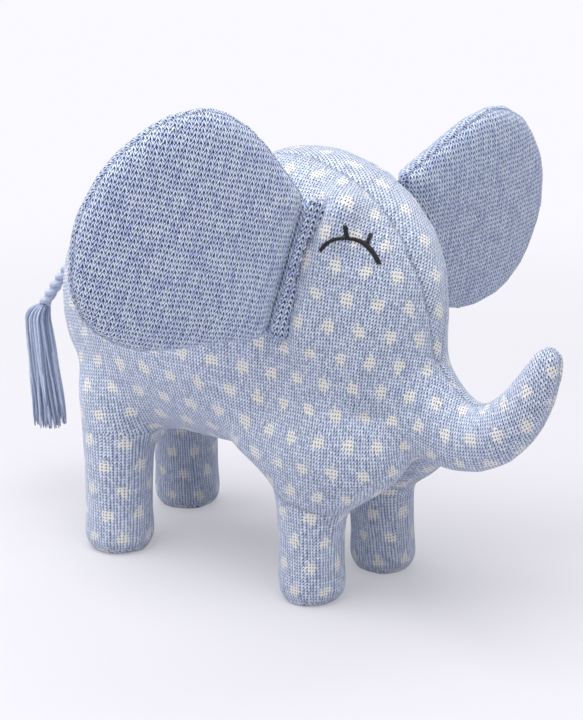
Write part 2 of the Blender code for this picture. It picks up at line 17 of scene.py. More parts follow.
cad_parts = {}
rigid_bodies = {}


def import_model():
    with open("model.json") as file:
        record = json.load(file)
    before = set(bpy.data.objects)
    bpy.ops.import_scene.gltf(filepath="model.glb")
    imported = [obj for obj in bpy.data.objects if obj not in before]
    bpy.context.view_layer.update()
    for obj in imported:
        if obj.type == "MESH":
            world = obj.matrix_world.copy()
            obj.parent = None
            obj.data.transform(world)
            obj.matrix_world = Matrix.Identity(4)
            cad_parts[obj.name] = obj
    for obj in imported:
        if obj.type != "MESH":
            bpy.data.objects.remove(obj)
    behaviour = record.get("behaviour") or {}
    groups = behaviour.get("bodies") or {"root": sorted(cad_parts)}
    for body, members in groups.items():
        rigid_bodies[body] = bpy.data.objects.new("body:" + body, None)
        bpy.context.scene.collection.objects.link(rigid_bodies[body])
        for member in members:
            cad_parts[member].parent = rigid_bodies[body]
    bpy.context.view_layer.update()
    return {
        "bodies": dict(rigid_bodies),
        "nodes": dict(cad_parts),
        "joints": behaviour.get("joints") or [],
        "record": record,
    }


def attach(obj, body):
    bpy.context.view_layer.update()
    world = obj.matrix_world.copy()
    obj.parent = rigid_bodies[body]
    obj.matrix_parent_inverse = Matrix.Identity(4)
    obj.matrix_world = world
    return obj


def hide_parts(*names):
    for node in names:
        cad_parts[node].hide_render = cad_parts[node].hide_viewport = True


LOG = logging.getLogger("stuffed_elephant")
MM = 0.001
MID_Y = -4.377 * MM
SHIFT_X = -30.703 * MM
SEED = 7

Array = np.ndarray
Mesh = tuple[Array, list[tuple[int, ...]]]
Colour = tuple[float, float, float]


class Side(Enum):
    """The toy's own right and left, with the sign of its Y direction."""

    RIGHT = -1
    LEFT = 1

    @property
    def word(self) -> str:
        """The name that nodes and pieces of this side carry."""
        return self.name.lower()


class Panel(Enum):
    """The flat cuts of knit that the cover is sewn from."""

    RIGHT_SIDE = 0
    LEFT_SIDE = 1
    UNDERSIDE = 2
    FOREHEAD = 3
    SOLES = 4
    LEG_OUTSIDE = 5
    LEG_INSIDE = 6


# ---------------------------------------------------------------- node trees


class Wire:
    """A number in a material's node tree that takes part in sums."""

    def __init__(self, tree: bpy.types.NodeTree, socket: bpy.types.NodeSocket) -> None:
        """Keeps the tree and the socket that gives the number."""
        self.tree = tree
        self.socket = socket

    def maths(self, operation: str, *others: "Wire | float") -> "Wire":
        """Adds one Math node.

        Args:
            operation: Blender's name of the sum.
            others: the further numbers that it takes.

        Returns:
            The sum's result.
        """
        node = self.tree.nodes.new("ShaderNodeMath")
        node.operation = operation
        self.tree.links.new(self.socket, node.inputs[0])
        for place, other in enumerate(others, 1):
            if isinstance(other, Wire):
                self.tree.links.new(other.socket, node.inputs[place])
            else:
                node.inputs[place].default_value = other
        return Wire(self.tree, node.outputs[0])

    def __add__(self, other: "Wire | float") -> "Wire":
        """This number plus another."""
        return self.maths("ADD", other)

    def __sub__(self, other: "Wire | float") -> "Wire":
        """This number less another."""
        return self.maths("SUBTRACT", other)

    def __mul__(self, other: "Wire | float") -> "Wire":
        """This number times another."""
        return self.maths("MULTIPLY", other)

    def floor(self) -> "Wire":
        """The whole number below."""
        return self.maths("FLOOR")

    def part(self) -> "Wire":
        """What is left above the whole number below."""
        return self.maths("FRACT")

    def size(self) -> "Wire":
        """The number without its sign."""
        return self.maths("ABSOLUTE")

    def rest(self) -> "Wire":
        """One less this number."""
        return self.maths("MULTIPLY_ADD", -1.0, 1.0)

    def ramp(self, low: float, high: float) -> "Wire":
        """A soft step from 0 at low to 1 at high."""
        node = self.tree.nodes.new("ShaderNodeMapRange")
        node.interpolation_type = "SMOOTHSTEP"
        self.tree.links.new(self.socket, node.inputs["Value"])
        node.inputs["From Min"].default_value = low
        node.inputs["From Max"].default_value = high
        return Wire(self.tree, node.outputs["Result"])

    def towards(self, other: "Wire", share: "Wire") -> "Wire":
        """This number moved by a share of the way to another."""
        return (other - self) * share + self


class Tree:
    """A new material's node tree with its Principled shader."""

    def __init__(self, name: str) -> None:
        """Makes the material and finds its shader."""
        self.material = bpy.data.materials.new(name)
        self.material.use_nodes = True
        self.tree = self.material.node_tree
        self.shader = self.tree.nodes["Principled BSDF"]

    def attribute(self, name: str) -> tuple[Wire, Wire, Wire]:
        """The three numbers of a vector kept on the mesh."""
        node = self.tree.nodes.new("ShaderNodeAttribute")
        node.attribute_name = name
        parts = self.tree.nodes.new("ShaderNodeSeparateXYZ")
        self.tree.links.new(node.outputs["Vector"], parts.inputs[0])
        return tuple(Wire(self.tree, parts.outputs[axis]) for axis in range(3))

    def number(self, name: str) -> Wire:
        """One number kept on the mesh."""
        node = self.tree.nodes.new("ShaderNodeAttribute")
        node.attribute_name = name
        return Wire(self.tree, node.outputs["Fac"])

    def chance(self, across: Wire, along: Wire) -> Wire:
        """A number from 0 to 1 that is fixed for each pair of whole numbers."""
        joined = self.tree.nodes.new("ShaderNodeCombineXYZ")
        self.tree.links.new(across.socket, joined.inputs[0])
        self.tree.links.new(along.socket, joined.inputs[1])
        node = self.tree.nodes.new("ShaderNodeTexWhiteNoise")
        node.noise_dimensions = "3D"
        self.tree.links.new(joined.outputs[0], node.inputs["Vector"])
        return Wire(self.tree, node.outputs["Value"])

    def cloud(self, scale: float, detail: float = 2.0) -> Wire:
        """Soft noise over the piece.

        Args:
            scale: how many swells there are in a metre.
            detail: how many finer layers lie on it.

        Returns:
            A number about 0.5.
        """
        place = self.tree.nodes.new("ShaderNodeTexCoord")
        node = self.tree.nodes.new("ShaderNodeTexNoise")
        node.inputs["Scale"].default_value = scale
        node.inputs["Detail"].default_value = detail
        self.tree.links.new(place.outputs["Object"], node.inputs["Vector"])
        return Wire(self.tree, node.outputs["Fac"])

    def mix(self, share: Wire, first: "Colour | bpy.types.NodeSocket", second: "Colour | bpy.types.NodeSocket",
            blend: str = "MIX") -> bpy.types.NodeSocket:
        """Two colours mixed by a share.

        Args:
            share: 0 gives the first and 1 the second.
            first: a colour or a socket.
            second: a colour or a socket.
            blend: Blender's name of the way to mix.

        Returns:
            The socket with the mixed colour.
        """
        node = self.tree.nodes.new("ShaderNodeMix")
        node.data_type = "RGBA"
        node.blend_type = blend
        self.tree.links.new(share.socket, node.inputs[0])
        for value, socket in ((first, node.inputs[6]), (second, node.inputs[7])):
            if isinstance(value, tuple):
                socket.default_value = (*value, 1.0)
            else:
                self.tree.links.new(value, socket)
        return node.outputs[2]

    def relief(self, height: Wire, distance: float, strength: float) -> None:
        """Raises the surface by a height.

        Args:
            height: from 0 to 1.
            distance: how high 1 is, in metres.
            strength: how much of it shows.
        """
        node = self.tree.nodes.new("ShaderNodeBump")
        node.inputs["Distance"].default_value = distance
        node.inputs["Strength"].default_value = strength
        self.tree.links.new(height.socket, node.inputs["Height"])
        self.tree.links.new(node.outputs["Normal"], self.shader.inputs["Normal"])

    def colour(self, socket: bpy.types.NodeSocket) -> None:
        """Gives the shader its colour."""
        self.tree.links.new(socket, self.shader.inputs["Base Color"])

    def set(self, **values: float | Colour) -> None:
        """Sets sockets of the shader by name, with _ for a space."""
        for name, value in values.items():
            socket = self.shader.inputs[name.replace("_", " ")]
            socket.default_value = (*value, 1.0) if isinstance(value, tuple) else value


# ---------------------------------------------------------------- finishes


@dataclass(frozen=True)
class KnitFinish:
    """A machine knit of small V stitches, plain or with cream dots."""

    name: str
    slot: str
    # light is a painted highlight on the stitches' raised crowns, mid is the yarn's own colour, and gap is a painted
    # shade in the holes and between the stitches.
    light: Colour
    mid: Colour
    gap: Colour
    wale: float
    course: float
    slant: float
    relief: float
    open: tuple[float, float]
    bridge: float
    edge: tuple[float, float]
    heart: tuple[float, float]
    twist: float
    dot: Colour | None = None
    dot_wales: int = 10
    dot_courses: int = 8
    dot_half: tuple[float, float] = (1.9, 2.0)
    dot_ragged: float = 0.6
    sheen: float = 0.8
    sheen_tint: Colour = (0.78, 0.85, 1.0)

    def material(self) -> bpy.types.Material:
        """Builds the knit from the flat places kept on the mesh.

        Returns:
            The material, with the stitches in its relief and in its colour, where the colour holds painted shade in the
            stitches' holes and a painted highlight on their crowns.
        """
        tree = Tree(self.name)
        near = tree.attribute("knit_near")
        after = tree.attribute("knit_next")
        swap = near[2].maths("GREATER_THAN", after[2])
        across = near[0].towards(after[0], swap) * (1.0 / self.wale)
        along = near[1].towards(after[1], swap) * (1.0 / self.course)
        seam = (near[2] - after[2]).size().ramp(0.0, 1.3 * MM).rest() * tree.number("seam")

        along = along + (tree.cloud(110.0, 1.0) - 0.5) * 0.9
        across = across + (tree.cloud(260.0) - 0.5) * 0.16 - (along.part() - 0.5) * self.twist
        leg = (across.part() - 0.5).size()
        rows = along - leg * self.slant
        wale_number = across.floor()
        course_number = rows.floor()
        chance = tree.chance((across * 2.0).floor(), course_number)
        over = (rows.part() * math.pi).maths("SINE")
        edge = leg.ramp(*self.edge)
        middle = leg.ramp(0.0, self.heart[0]).rest() * self.heart[1]
        opening = (over.ramp(*self.open) * self.bridge).rest()
        row_line = over.rest() * edge.rest() * middle.rest() * 0.3
        # The legs that rise to the right are painted a little lighter, a painted highlight as if lit from one side; the
        # same share raises their relief.
        rising_leg_highlight = across.part().maths("GREATER_THAN", 0.5)
        hole = (edge + middle) * opening * (chance * -0.3 + 1.12)
        height = (hole + row_line).rest() * (chance * 0.3 + rising_leg_highlight * 0.08 + 0.74)

        # The colour is painted from the stitch height: painted shade in the holes, between the rows and at each wale's
        # heart, and a painted highlight on the raised legs.
        shade = tree.mix(height.ramp(0.12, 0.66), self.gap, self.mid)
        shade = tree.mix(height.ramp(0.58, 0.96), shade, self.light)
        if self.dot is not None:
            spotted = self.spots(wale_number, course_number, chance)
            # On the dots the cream lies on the stitch crowns, with painted shade running down into the holes.
            pale = tree.mix(height.ramp(0.1, 0.66), self.mid, self.dot)
            pale = tree.mix(height.ramp(0.08, 0.4), self.gap, pale)
            shade = tree.mix(spotted, shade, pale)
        patches = tree.cloud(22.0, 3.0).ramp(0.3, 0.75) * 0.06
        shade = tree.mix(patches, shade, self.mid)
        # A painted shade darkens each seam's groove, besides the groove's own relief.
        shade = tree.mix(seam * 0.4, shade, self.gap)
        tree.colour(shade)
        tree.relief(height - seam * 0.4, self.relief, 0.8)
        tree.set(Roughness=0.9, Sheen_Weight=self.sheen, Sheen_Roughness=0.5, Sheen_Tint=self.sheen_tint,
                 Specular_IOR_Level=0.15)
        return tree.material

    def spots(self, wale_number: Wire, course_number: Wire, chance: Wire) -> Wire:
        """Whether a stitch belongs to a dot of the half-drop pattern.

        Args:
            wale_number: the stitch's column.
            course_number: the stitch's row.
            chance: a number that is fixed for the stitch, which makes the dot's edge ragged.

        Returns:
            1 on a dot and 0 beside it.
        """
        row = ((course_number + 0.5 * self.dot_courses) * (1.0 / self.dot_courses)).floor()
        down = course_number - row * float(self.dot_courses)
        shifted = row.maths("FLOORED_MODULO", 2.0) * (0.5 * self.dot_wales) + wale_number
        half = 0.5 * self.dot_wales
        beside = (shifted + half).maths("FLOORED_MODULO", float(self.dot_wales)) - half
        wide = (beside + 0.5) * (1.0 / self.dot_half[0])
        high = down * (1.0 / self.dot_half[1])
        limit = (chance - 0.5) * self.dot_ragged + 1.0
        return (wide * wide + high * high).maths("LESS_THAN", limit)


@dataclass(frozen=True)
class YarnFinish:
    """Spun yarn or thread, lighter and darker from strand to strand, with a painted highlight on the crests of twisted
    lobes and painted shade between them.
    """

    name: str
    slot: str
    light: Colour
    dark: Colour
    roughness: float
    sheen: float

    def material(self) -> bpy.types.Material:
        """Builds the yarn from the tone kept on each strand.

        Returns:
            The material.
        """
        tree = Tree(self.name)
        tone = tree.number("tone")
        fine = tree.cloud(900.0, 3.0)
        shade = tree.mix(tone, self.dark, self.light)
        shade = tree.mix((fine - 0.35).ramp(0.0, 0.4) * 0.3, shade, self.dark)
        tree.colour(shade)
        tree.relief(fine, 0.25 * MM, 0.5)
        tree.set(Roughness=self.roughness, Sheen_Weight=self.sheen, Sheen_Roughness=0.5, Specular_IOR_Level=0.3)
        return tree.material


# In each knit, light is the painted highlight on the stitch crowns and gap the painted shade in the holes between
# stitches; mid is the yarn's colour.
DOTTED_KNIT = KnitFinish("dotted_knit", "knit_cover", light=(0.80, 0.86, 0.98), mid=(0.32, 0.385, 0.56),
                         gap=(0.02, 0.03, 0.075), wale=1.6 * MM, course=1.56 * MM, slant=1.45, relief=0.45 * MM,
                         open=(0.22, 0.9), bridge=0.78, edge=(0.1, 0.42), heart=(0.16, 0.12), twist=0.35, dot=(0.88, 0.86, 0.82))
PLAIN_KNIT = KnitFinish("plain_knit", "ear_knit", light=(0.86, 0.94, 1.0), mid=(0.42, 0.53, 0.92),
                        gap=(0.008, 0.014, 0.055), wale=2.8 * MM, course=2.3 * MM, slant=2.7, relief=0.7 * MM,
                        open=(0.4, 0.98), bridge=0.9, edge=(0.18, 0.4), heart=(0.28, 1.0), twist=0.15)
BLACK_THREAD = YarnFinish("black_thread", "eye_thread", (0.020, 0.020, 0.026), (0.006, 0.006, 0.009), 0.5, 0.1)
TAIL_YARN = YarnFinish("tail_yarn", "tail_yarn", (0.62, 0.70, 0.88), (0.17, 0.23, 0.37), 0.8, 0.6)


# ---------------------------------------------------------------- meshes


def node_mesh(name: str) -> tuple[Array, list[tuple[int, ...]]]:
    """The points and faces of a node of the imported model."""
    mesh = bpy.data.objects[name].data
    points = np.empty(len(mesh.vertices) * 3)
    mesh.vertices.foreach_get("co", points)
    return points.reshape(-1, 3), [tuple(face.vertices) for face in mesh.polygons]


def joined(meshes: Sequence[Mesh]) -> Mesh:
    """Several meshes as one."""
    points: list[Array] = []
    faces: list[tuple[int, ...]] = []
    for more, cut in meshes:
        start = sum(len(p) for p in points)
        points.append(more)
        faces += [tuple(start + corner for corner in face) for face in cut]
    return np.concatenate(points), faces


def node_tree(*names: str, fuller: Sequence[Mesh] = ()) -> BVHTree:
    """A search tree over the faces of some nodes and of further forms."""
    points, faces = joined([*(node_mesh(name) for name in names), *fuller])
    return BVHTree.FromPolygons([tuple(p) for p in points], faces)


def lofted(rings: Sequence[Array]) -> Mesh:
    """A closed form through rings that have the same number of points."""
    sides = len(rings[0])
    faces = [(ring * sides + a, ring * sides + (a + 1) % sides, (ring + 1) * sides + (a + 1) % sides,
              (ring + 1) * sides + a) for ring in range(len(rings) - 1) for a in range(sides)]
    last = (len(rings) - 1) * sides
    faces += [tuple(reversed(range(sides))), tuple(range(last, last + sides))]
    return np.concatenate(rings), faces


def gaps_to(tree: BVHTree, points: Array) -> Array:
    """How far each point is from a search tree's faces."""
    return np.array([tree.find_nearest(Vector(point))[3] for point in points])


def new_object(name: str, points: Array, faces: Sequence[Sequence[int]]) -> bpy.types.Object:
    """A mesh object in the scene, smooth shaded.

    Args:
        name: the object's name.
        points: its points, in metres.
        faces: the corners of each face.

    Returns:
        The object.
    """
    mesh = bpy.data.meshes.new(name)
    mesh.from_pydata([tuple(p) for p in points], [], [tuple(int(i) for i in f) for f in faces])
    mesh.polygons.foreach_set("use_smooth", [True] * len(mesh.polygons))
    mesh.update()
    obj = bpy.data.objects.new(name, mesh)
    bpy.context.scene.collection.objects.link(obj)
    return obj


def drop(obj: bpy.types.Object) -> None:
    """Removes a helper object and its mesh."""
    mesh = obj.data
    bpy.data.objects.remove(obj)
    bpy.data.meshes.remove(mesh)


def settled(obj: bpy.types.Object) -> tuple[Array, Array]:
    """The points and four-cornered faces of an object after its modifiers."""
    graph = bpy.context.evaluated_depsgraph_get()
    mesh = obj.evaluated_get(graph).to_mesh()
    points = np.empty(len(mesh.vertices) * 3)
    mesh.vertices.foreach_get("co", points)
    faces = np.array([tuple(f.vertices) for f in mesh.polygons if len(f.vertices) == 4], dtype=int)
    return points.reshape(-1, 3), faces


def remeshed(nodes: Sequence[str], voxel: float, fuller: Sequence[Mesh] = ()) -> tuple[Array, Array]:
    """One closed skin round several nodes.

    Args:
        nodes: the nodes that it holds.
        voxel: the size of its faces.
        fuller: further closed forms that it holds.

    Returns:
        The points and the four-cornered faces of its outer shell.
    """
    helper = new_object("skin_helper", *joined([*(node_mesh(name) for name in nodes), *fuller]))
    modifier = helper.modifiers.new("voxels", "REMESH")
    modifier.mode = "VOXEL"
    modifier.voxel_size = voxel
    found, quads = settled(helper)
    drop(helper)
    return outer_shell(found, quads)


def outer_shell(points: Array, faces: Array) -> tuple[Array, Array]:
    """The connected shell with the most faces."""
    label = np.arange(len(points))
    while True:
        lowest = label[faces].min(axis=1)
        before = label.copy()
        for corner in range(faces.shape[1]):
            np.minimum.at(label, faces[:, corner], lowest)
        label = label[label]
        if np.array_equal(before, label):
            break
    names, counts = np.unique(label[faces[:, 0]], return_counts=True)
    kept = faces[label[faces[:, 0]] == names[counts.argmax()]]
    used = np.unique(kept)
    where = np.full(len(points), -1)
    where[used] = np.arange(len(used))
    return points[used], where[kept]


def normals_of(points: Array, faces: Array) -> Array:
    """The direction that each point of a skin faces."""
    across = np.cross(points[faces[:, 2]] - points[faces[:, 0]], points[faces[:, 3]] - points[faces[:, 1]])
    out = np.zeros_like(points)
    for corner in range(4):
        np.add.at(out, faces[:, corner], across)
    return out / np.maximum(np.linalg.norm(out, axis=1, keepdims=True), 1e-12)


class Relaxer:
    """Evens out a skin's points along its edges."""

    def __init__(self, points: Array, faces: Array) -> None:
        """Lists each edge once in both directions."""
        self.faces = faces
        pairs = np.concatenate([faces[:, [a, (a + 1) % 4]] for a in range(4)])
        pairs = np.unique(np.sort(pairs, axis=1), axis=0)
        self.start = np.concatenate([pairs[:, 0], pairs[:, 1]])
        self.end = np.concatenate([pairs[:, 1], pairs[:, 0]])
        self.count = np.bincount(self.start, minlength=len(points)).astype(float)

    def pull(self, values: Array) -> Array:
        """How far each point lies from the middle of its neighbours."""
        out = np.empty_like(values)
        for axis in range(values.shape[1]):
            out[:, axis] = np.bincount(self.start, values[self.end, axis], len(values))
        return out / self.count[:, None] - values

    def smooth(self, points: Array, rounds: int, weight: Array | float = 1.0) -> Array:
        """Smooths without shrinking.

        Args:
            points: the skin's points.
            rounds: how often each point moves.
            weight: how much each point takes part.

        Returns:
            The new points.
        """
        weight = np.asarray(weight).reshape(-1, 1) if np.ndim(weight) else weight
        for _ in range(rounds):
            points = points + 0.5 * weight * self.pull(points)
            points = points - 0.52 * weight * self.pull(points)
        return points

    def fill(self, points: Array, rounds: int, weight: Array) -> Array:
        """Fills hollows between swelling forms with a soft round.

        Args:
            points: the skin's points.
            rounds: how far the rounds reach.
            weight: how much each point takes part.

        Returns:
            The new points.
        """
        for _ in range(rounds):
            facing = normals_of(points, self.faces)
            move = np.einsum("ij,ij->i", self.pull(points), facing)
            points = points + facing * (np.maximum(move, 0.0) * 0.7 * weight)[:, None]
        return points


def inflated(points: Array, faces: Array, pins: Array, pressure: float, cap: float) -> Array:
    """Fills a sewn skin until it swells between its seams.

    Args:
        points: the skin's points.
        faces: its four-cornered faces.
        pins: how firmly each point is held, from 0 to 1.
        pressure: the filling's push.
        cap: the furthest that a point may move.

    Returns:
        The new points.
    """
    helper = new_object("swell_helper", points, faces)
    group = helper.vertex_groups.new(name="held")
    for index, hold in enumerate(pins):
        if hold > 0.01:
            group.add([index], float(hold), "REPLACE")
    cloth = helper.modifiers.new("swell", "CLOTH")
    cloth.settings.quality = 4
    cloth.settings.mass = 0.3
    cloth.settings.tension_stiffness = 25.0
    cloth.settings.compression_stiffness = 25.0
    cloth.settings.bending_stiffness = 0.8
    cloth.settings.use_pressure = True
    cloth.settings.uniform_pressure_force = pressure
    cloth.settings.vertex_group_mass = group.name
    cloth.settings.effector_weights.gravity = 0.0
    cloth.collision_settings.use_collision = False
    scene = bpy.context.scene
    for frame in range(1, 21):
        scene.frame_set(frame)
    swollen, _ = settled(helper)
    scene.frame_set(1)
    drop(helper)
    move = swollen - points
    length = np.linalg.norm(move, axis=1, keepdims=True)
    return points + move * np.minimum(1.0, cap / np.maximum(length, 1e-12))


def flattened(points: Array, faces: Array, chosen: Array, target: Array) -> Array:
    """Lays one cut of knit flat, in metres.

    Args:
        points: the skin's points.
        faces: its four-cornered faces.
        chosen: which points belong to the cut and its seam allowance.
        target: the flat place near which each point goes.

    Returns:
        Two numbers for each point, across the wales and along them.
    """
    cut = faces[np.all(chosen[faces], axis=1)]
    shell, local = outer_shell(points, cut)
    used = np.unique(cut)
    lookup = {tuple(p): i for p, i in zip(points[used].tolist(), used, strict=True)}
    back = np.array([lookup[tuple(p)] for p in shell.tolist()])
    helper = new_object("flat_helper", shell, local)
    bpy.context.view_layer.objects.active = helper
    helper.select_set(True)
    bpy.ops.object.mode_set(mode="EDIT")
    bpy.ops.mesh.select_all(action="SELECT")
    bpy.ops.uv.unwrap(method="MINIMUM_STRETCH", iterations=12, margin=0.0)
    bpy.ops.object.mode_set(mode="OBJECT")
    mesh = helper.data
    corners = np.empty(len(mesh.loops) * 2)
    mesh.uv_layers.active.data.foreach_get("uv", corners)
    owner = np.empty(len(mesh.loops), dtype=int)
    mesh.loops.foreach_get("vertex_index", owner)
    flat = np.zeros((len(shell), 2))
    flat[owner] = corners.reshape(-1, 2)
    drop(helper)

    quad = shell[local]
    real = 0.5 * np.linalg.norm(np.cross(quad[:, 2] - quad[:, 0], quad[:, 3] - quad[:, 1]), axis=1).sum()
    side = flat[local]
    first, second = side[:, 2] - side[:, 0], side[:, 3] - side[:, 1]
    drawn = 0.5 * np.abs(first[:, 0] * second[:, 1] - first[:, 1] * second[:, 0]).sum()
    flat = (flat - flat.mean(axis=0)) * math.sqrt(real / drawn)
    goal = target[back] - target[back].mean(axis=0)
    left, _, right = np.linalg.svd(flat.T @ goal)
    out = target.copy()
    out[back] = flat @ (left @ right) + target[back].mean(axis=0)
    return out


def write_vectors(mesh: bpy.types.Mesh, name: str, domain: str, values: Array) -> None:
    """Keeps a vector for each point or corner of a mesh."""
    kept = mesh.attributes.new(name, "FLOAT_VECTOR", domain)
    kept.data.foreach_set("vector", np.ascontiguousarray(values, dtype=np.float32).ravel())


def write_numbers(mesh: bpy.types.Mesh, name: str, values: Array) -> None:
    """Keeps a number for each point of a mesh."""
    kept = mesh.attributes.new(name, "FLOAT", "POINT")
    kept.data.foreach_set("value", np.ascontiguousarray(values, dtype=np.float32))


@dataclass
class Skin:
    """A closed skin of four-cornered faces with the flat places of its cuts."""

    points: Array
    faces: Array
    cuts: list[Array] = field(default_factory=list)
    sewn: Array | None = None

    def finer(self) -> "Skin":
        """The skin with each face in four, and its cuts with it."""
        helper = new_object("finer_helper", self.points, self.faces)
        for number, cut in enumerate(self.cuts):
            write_vectors(helper.data, f"cut{number}", "POINT", cut)
        write_numbers(helper.data, "sewn", self.sewn)
        modifier = helper.modifiers.new("finer", "SUBSURF")
        modifier.levels = 1
        modifier.render_levels = 1
        graph = bpy.context.evaluated_depsgraph_get()
        mesh = helper.evaluated_get(graph).to_mesh()
        points = np.empty(len(mesh.vertices) * 3)
        mesh.vertices.foreach_get("co", points)
        faces = np.array([tuple(f.vertices) for f in mesh.polygons], dtype=int)
        cuts = []
        for number in range(len(self.cuts)):
            values = np.empty(len(mesh.vertices) * 3)
            mesh.attributes[f"cut{number}"].data.foreach_get("vector", values)
            cuts.append(values.reshape(-1, 3))
        sewn = np.empty(len(mesh.vertices))
        mesh.attributes["sewn"].data.foreach_get("value", sewn)
        drop(helper)
        return Skin(points.reshape(-1, 3), faces, cuts, sewn)

    def seam_gap(self) -> Array:
        """How far each point is from the nearest seam."""
        gaps = np.sort(np.stack([cut[:, 2] for cut in self.cuts]), axis=0)
        return gaps[1] - gaps[0]

    def grooved(self, depth: float, width: float) -> "Skin":
        """The skin drawn in along its seams.

        Args:
            depth: how far the seam lies in.
            width: how wide the groove is.

        Returns:
            The grooved skin.
        """
        groove = depth * np.exp(-((self.seam_gap() / width) ** 2)) * self.sewn
        moved = self.points - normals_of(self.points, self.faces) * groove[:, None]
        return Skin(moved, self.faces, self.cuts, self.sewn)

    def build(self, name: str, finish: KnitFinish) -> bpy.types.Object:
        """Makes the object and keeps the two nearest cuts on each corner.

        Args:
            name: the piece's name.
            finish: the knit that it is made of.

        Returns:
            The dressed object.
        """
        obj = new_object(name, self.points, self.faces)
        stack = np.stack(self.cuts)
        mean = stack[:, self.faces, 2].mean(axis=2)
        order = np.argsort(mean, axis=0, kind="stable")
        for rank, kept in enumerate(("knit_near", "knit_next")):
            chosen = np.repeat(order[rank][:, None], 4, axis=1)
            write_vectors(obj.data, kept, "CORNER", stack[chosen, self.faces].reshape(-1, 3))
        # The seam weight also sets the painted shade along the seams.
        write_numbers(obj.data, "seam", self.sewn)
        obj.data.materials.append(finish.material())
        return obj


# ---------------------------------------------------------------- cover


@dataclass
class SewnCover:
    """The stuffed cover of body, legs, head and trunk."""

    voxel: float = 2.7 * MM
    fillet_rounds: int = 230
    pressure: float = 3.0
    swell_cap: float = 1.4 * MM
    seam_depth: float = 0.5 * MM
    seam_width: float = 1.3 * MM
    seam_level: float = 78.0 * MM
    allowance: float = 4.2 * MM
    leg_top: float = 101.0 * MM
    leg_folds: tuple[float, float] = (47.0 * MM, 58.0 * MM)
    fold_split: float = -30.0 * MM
    fold_slope: float = 0.25
    leg_repeats: int = 7
    leg_rows: float = 1.1
    face_tightness: float = 0.27
    face_from: tuple[float, float] = (-25.0 * MM, 35.0 * MM)
    face_pivot: float = 5.0 * MM
    shoulder: tuple[tuple[float, float, float, float], ...] = (
        (38.0, 13.8, 14.0, 13.0), (42.0, 14.4, 18.0, 14.0), (46.0, 15.0, 23.0, 15.0), (50.0, 15.5, 29.0, 16.0),
        (53.0, 18.0, 33.0, 17.0), (57.5, 25.5, 38.0, 18.0), (62.0, 34.0, 41.0, 19.0), (65.5, 41.0, 43.0, 20.0),
        (72.0, 44.0, 44.0, 20.5), (84.0, 40.0, 42.0, 18.0))
    shoulder_round: float = 0.9
    shoulder_inward: float = 8.0 * MM
    chest_reach: float = 40.0 * MM
    chest_share: float = 13.0 * MM
    ear_bed: tuple[tuple[float, float], ...] = ((-37.0, 0.45), (-32.0, 0.85), (-24.0, 1.0), (0.0, 1.0), (24.0, 1.0),
                                                (31.0, 0.9), (36.0, 0.5))
    ear_bed_radius: tuple[float, float] = (11.0 * MM, 11.5 * MM)
    ear_bed_depth: tuple[float, float] = (9.6 * MM, 5.8 * MM)
    band_pinch: float = 1.3 * MM
    band_pinch_width: float = 2.0 * MM
    feet: tuple[tuple[str, Side, float, float, float], ...] = (
        ("front", Side.RIGHT, 24.3 * MM, -27.88 * MM, 19.3 * MM), ("front", Side.LEFT, 29.3 * MM, 19.12 * MM, 19.3 * MM),
        ("rear", Side.RIGHT, -81.7 * MM, -35.38 * MM, -88.2 * MM), ("rear", Side.LEFT, -93.7 * MM, 26.62 * MM, -88.2 * MM))
    thigh_spacing: float = 19.0 * MM
    gusset_turn: float = 32.0
    foot_radius: float = 15.0 * MM
    foot_flare: float = 1.6 * MM
    foot_edge: float = 4.0 * MM
    sole_rounds: int = 12
    flare_height: float = 26.0 * MM

    def nodes(self) -> list[str]:
        """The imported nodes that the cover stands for."""
        names = ["belly_gusset", "torso_filling", "forehead_gusset", "head_filling", "trunk_filling"]
        for side in Side:
            names += [f"torso_{side.word}_panel", f"head_{side.word}_panel", f"trunk_{side.word}_panel"]
            for end in ("front", "rear"):
                names += [f"{end}_{side.word}_{piece}" for piece in ("leg_cover", "leg_filling", "sole")]
        return names

    def shoulders(self, side: Side, foot: tuple[float, float], thigh_x: float, sides: int = 28) -> Mesh:
        """The full shoulder of a front leg, where the stuffed chest runs down into it.

        Args:
            side: the leg's side.
            foot: the foot's middle.
            thigh_x: where the leg's top lies.
            sides: how many points each ring has.

        Returns:
            A closed form.
        """
        angles = np.linspace(0.0, 2 * math.pi, sides, endpoint=False)
        along, across = (np.sign(wave) * np.abs(wave) ** self.shoulder_round for wave in (np.cos(angles), np.sin(angles)))
        thigh_y = MID_Y + side.value * self.thigh_spacing
        rings = []
        for height, behind, ahead, half_width in self.shoulder:
            share = (height * MM / self.leg_top) ** 2
            reach = np.where(along > 0.0, ahead, behind) * MM
            inward = self.shoulder_inward * (np.maximum(reach * along, 0.0) / self.chest_reach) ** 2
            rings.append(np.column_stack([
                foot[0] + (thigh_x - foot[0]) * share + reach * along,
                foot[1] + (thigh_y - foot[1]) * share + half_width * MM * across - side.value * inward,
                np.full(sides, height * MM)]))
        return lofted(rings)

    def ear_beds(self, joints: Sequence[dict], sides: int = 28) -> list[Mesh]:
        """The swellings of the head on which the ears' bands are sewn.

        Args:
            joints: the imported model's joints.
            sides: how many points each ring has.

        Returns:
            A closed form for each ear.
        """
        angles = np.linspace(0.0, 2 * math.pi, sides, endpoint=False)
        deep, wide = self.ear_bed_radius
        out = []
        for side, depth in zip(Side, self.ear_bed_depth, strict=True):
            middle, upward, away = PaddedEar(side).frame(joints)
            over = np.cross(away, upward)
            out.append(lofted([middle + upward * level * MM - away * (depth + deep)
                               + np.outer(np.cos(angles) * deep * share, away)
                               + np.outer(np.sin(angles) * wide * share, over) for level, share in self.ear_bed]))
        return out

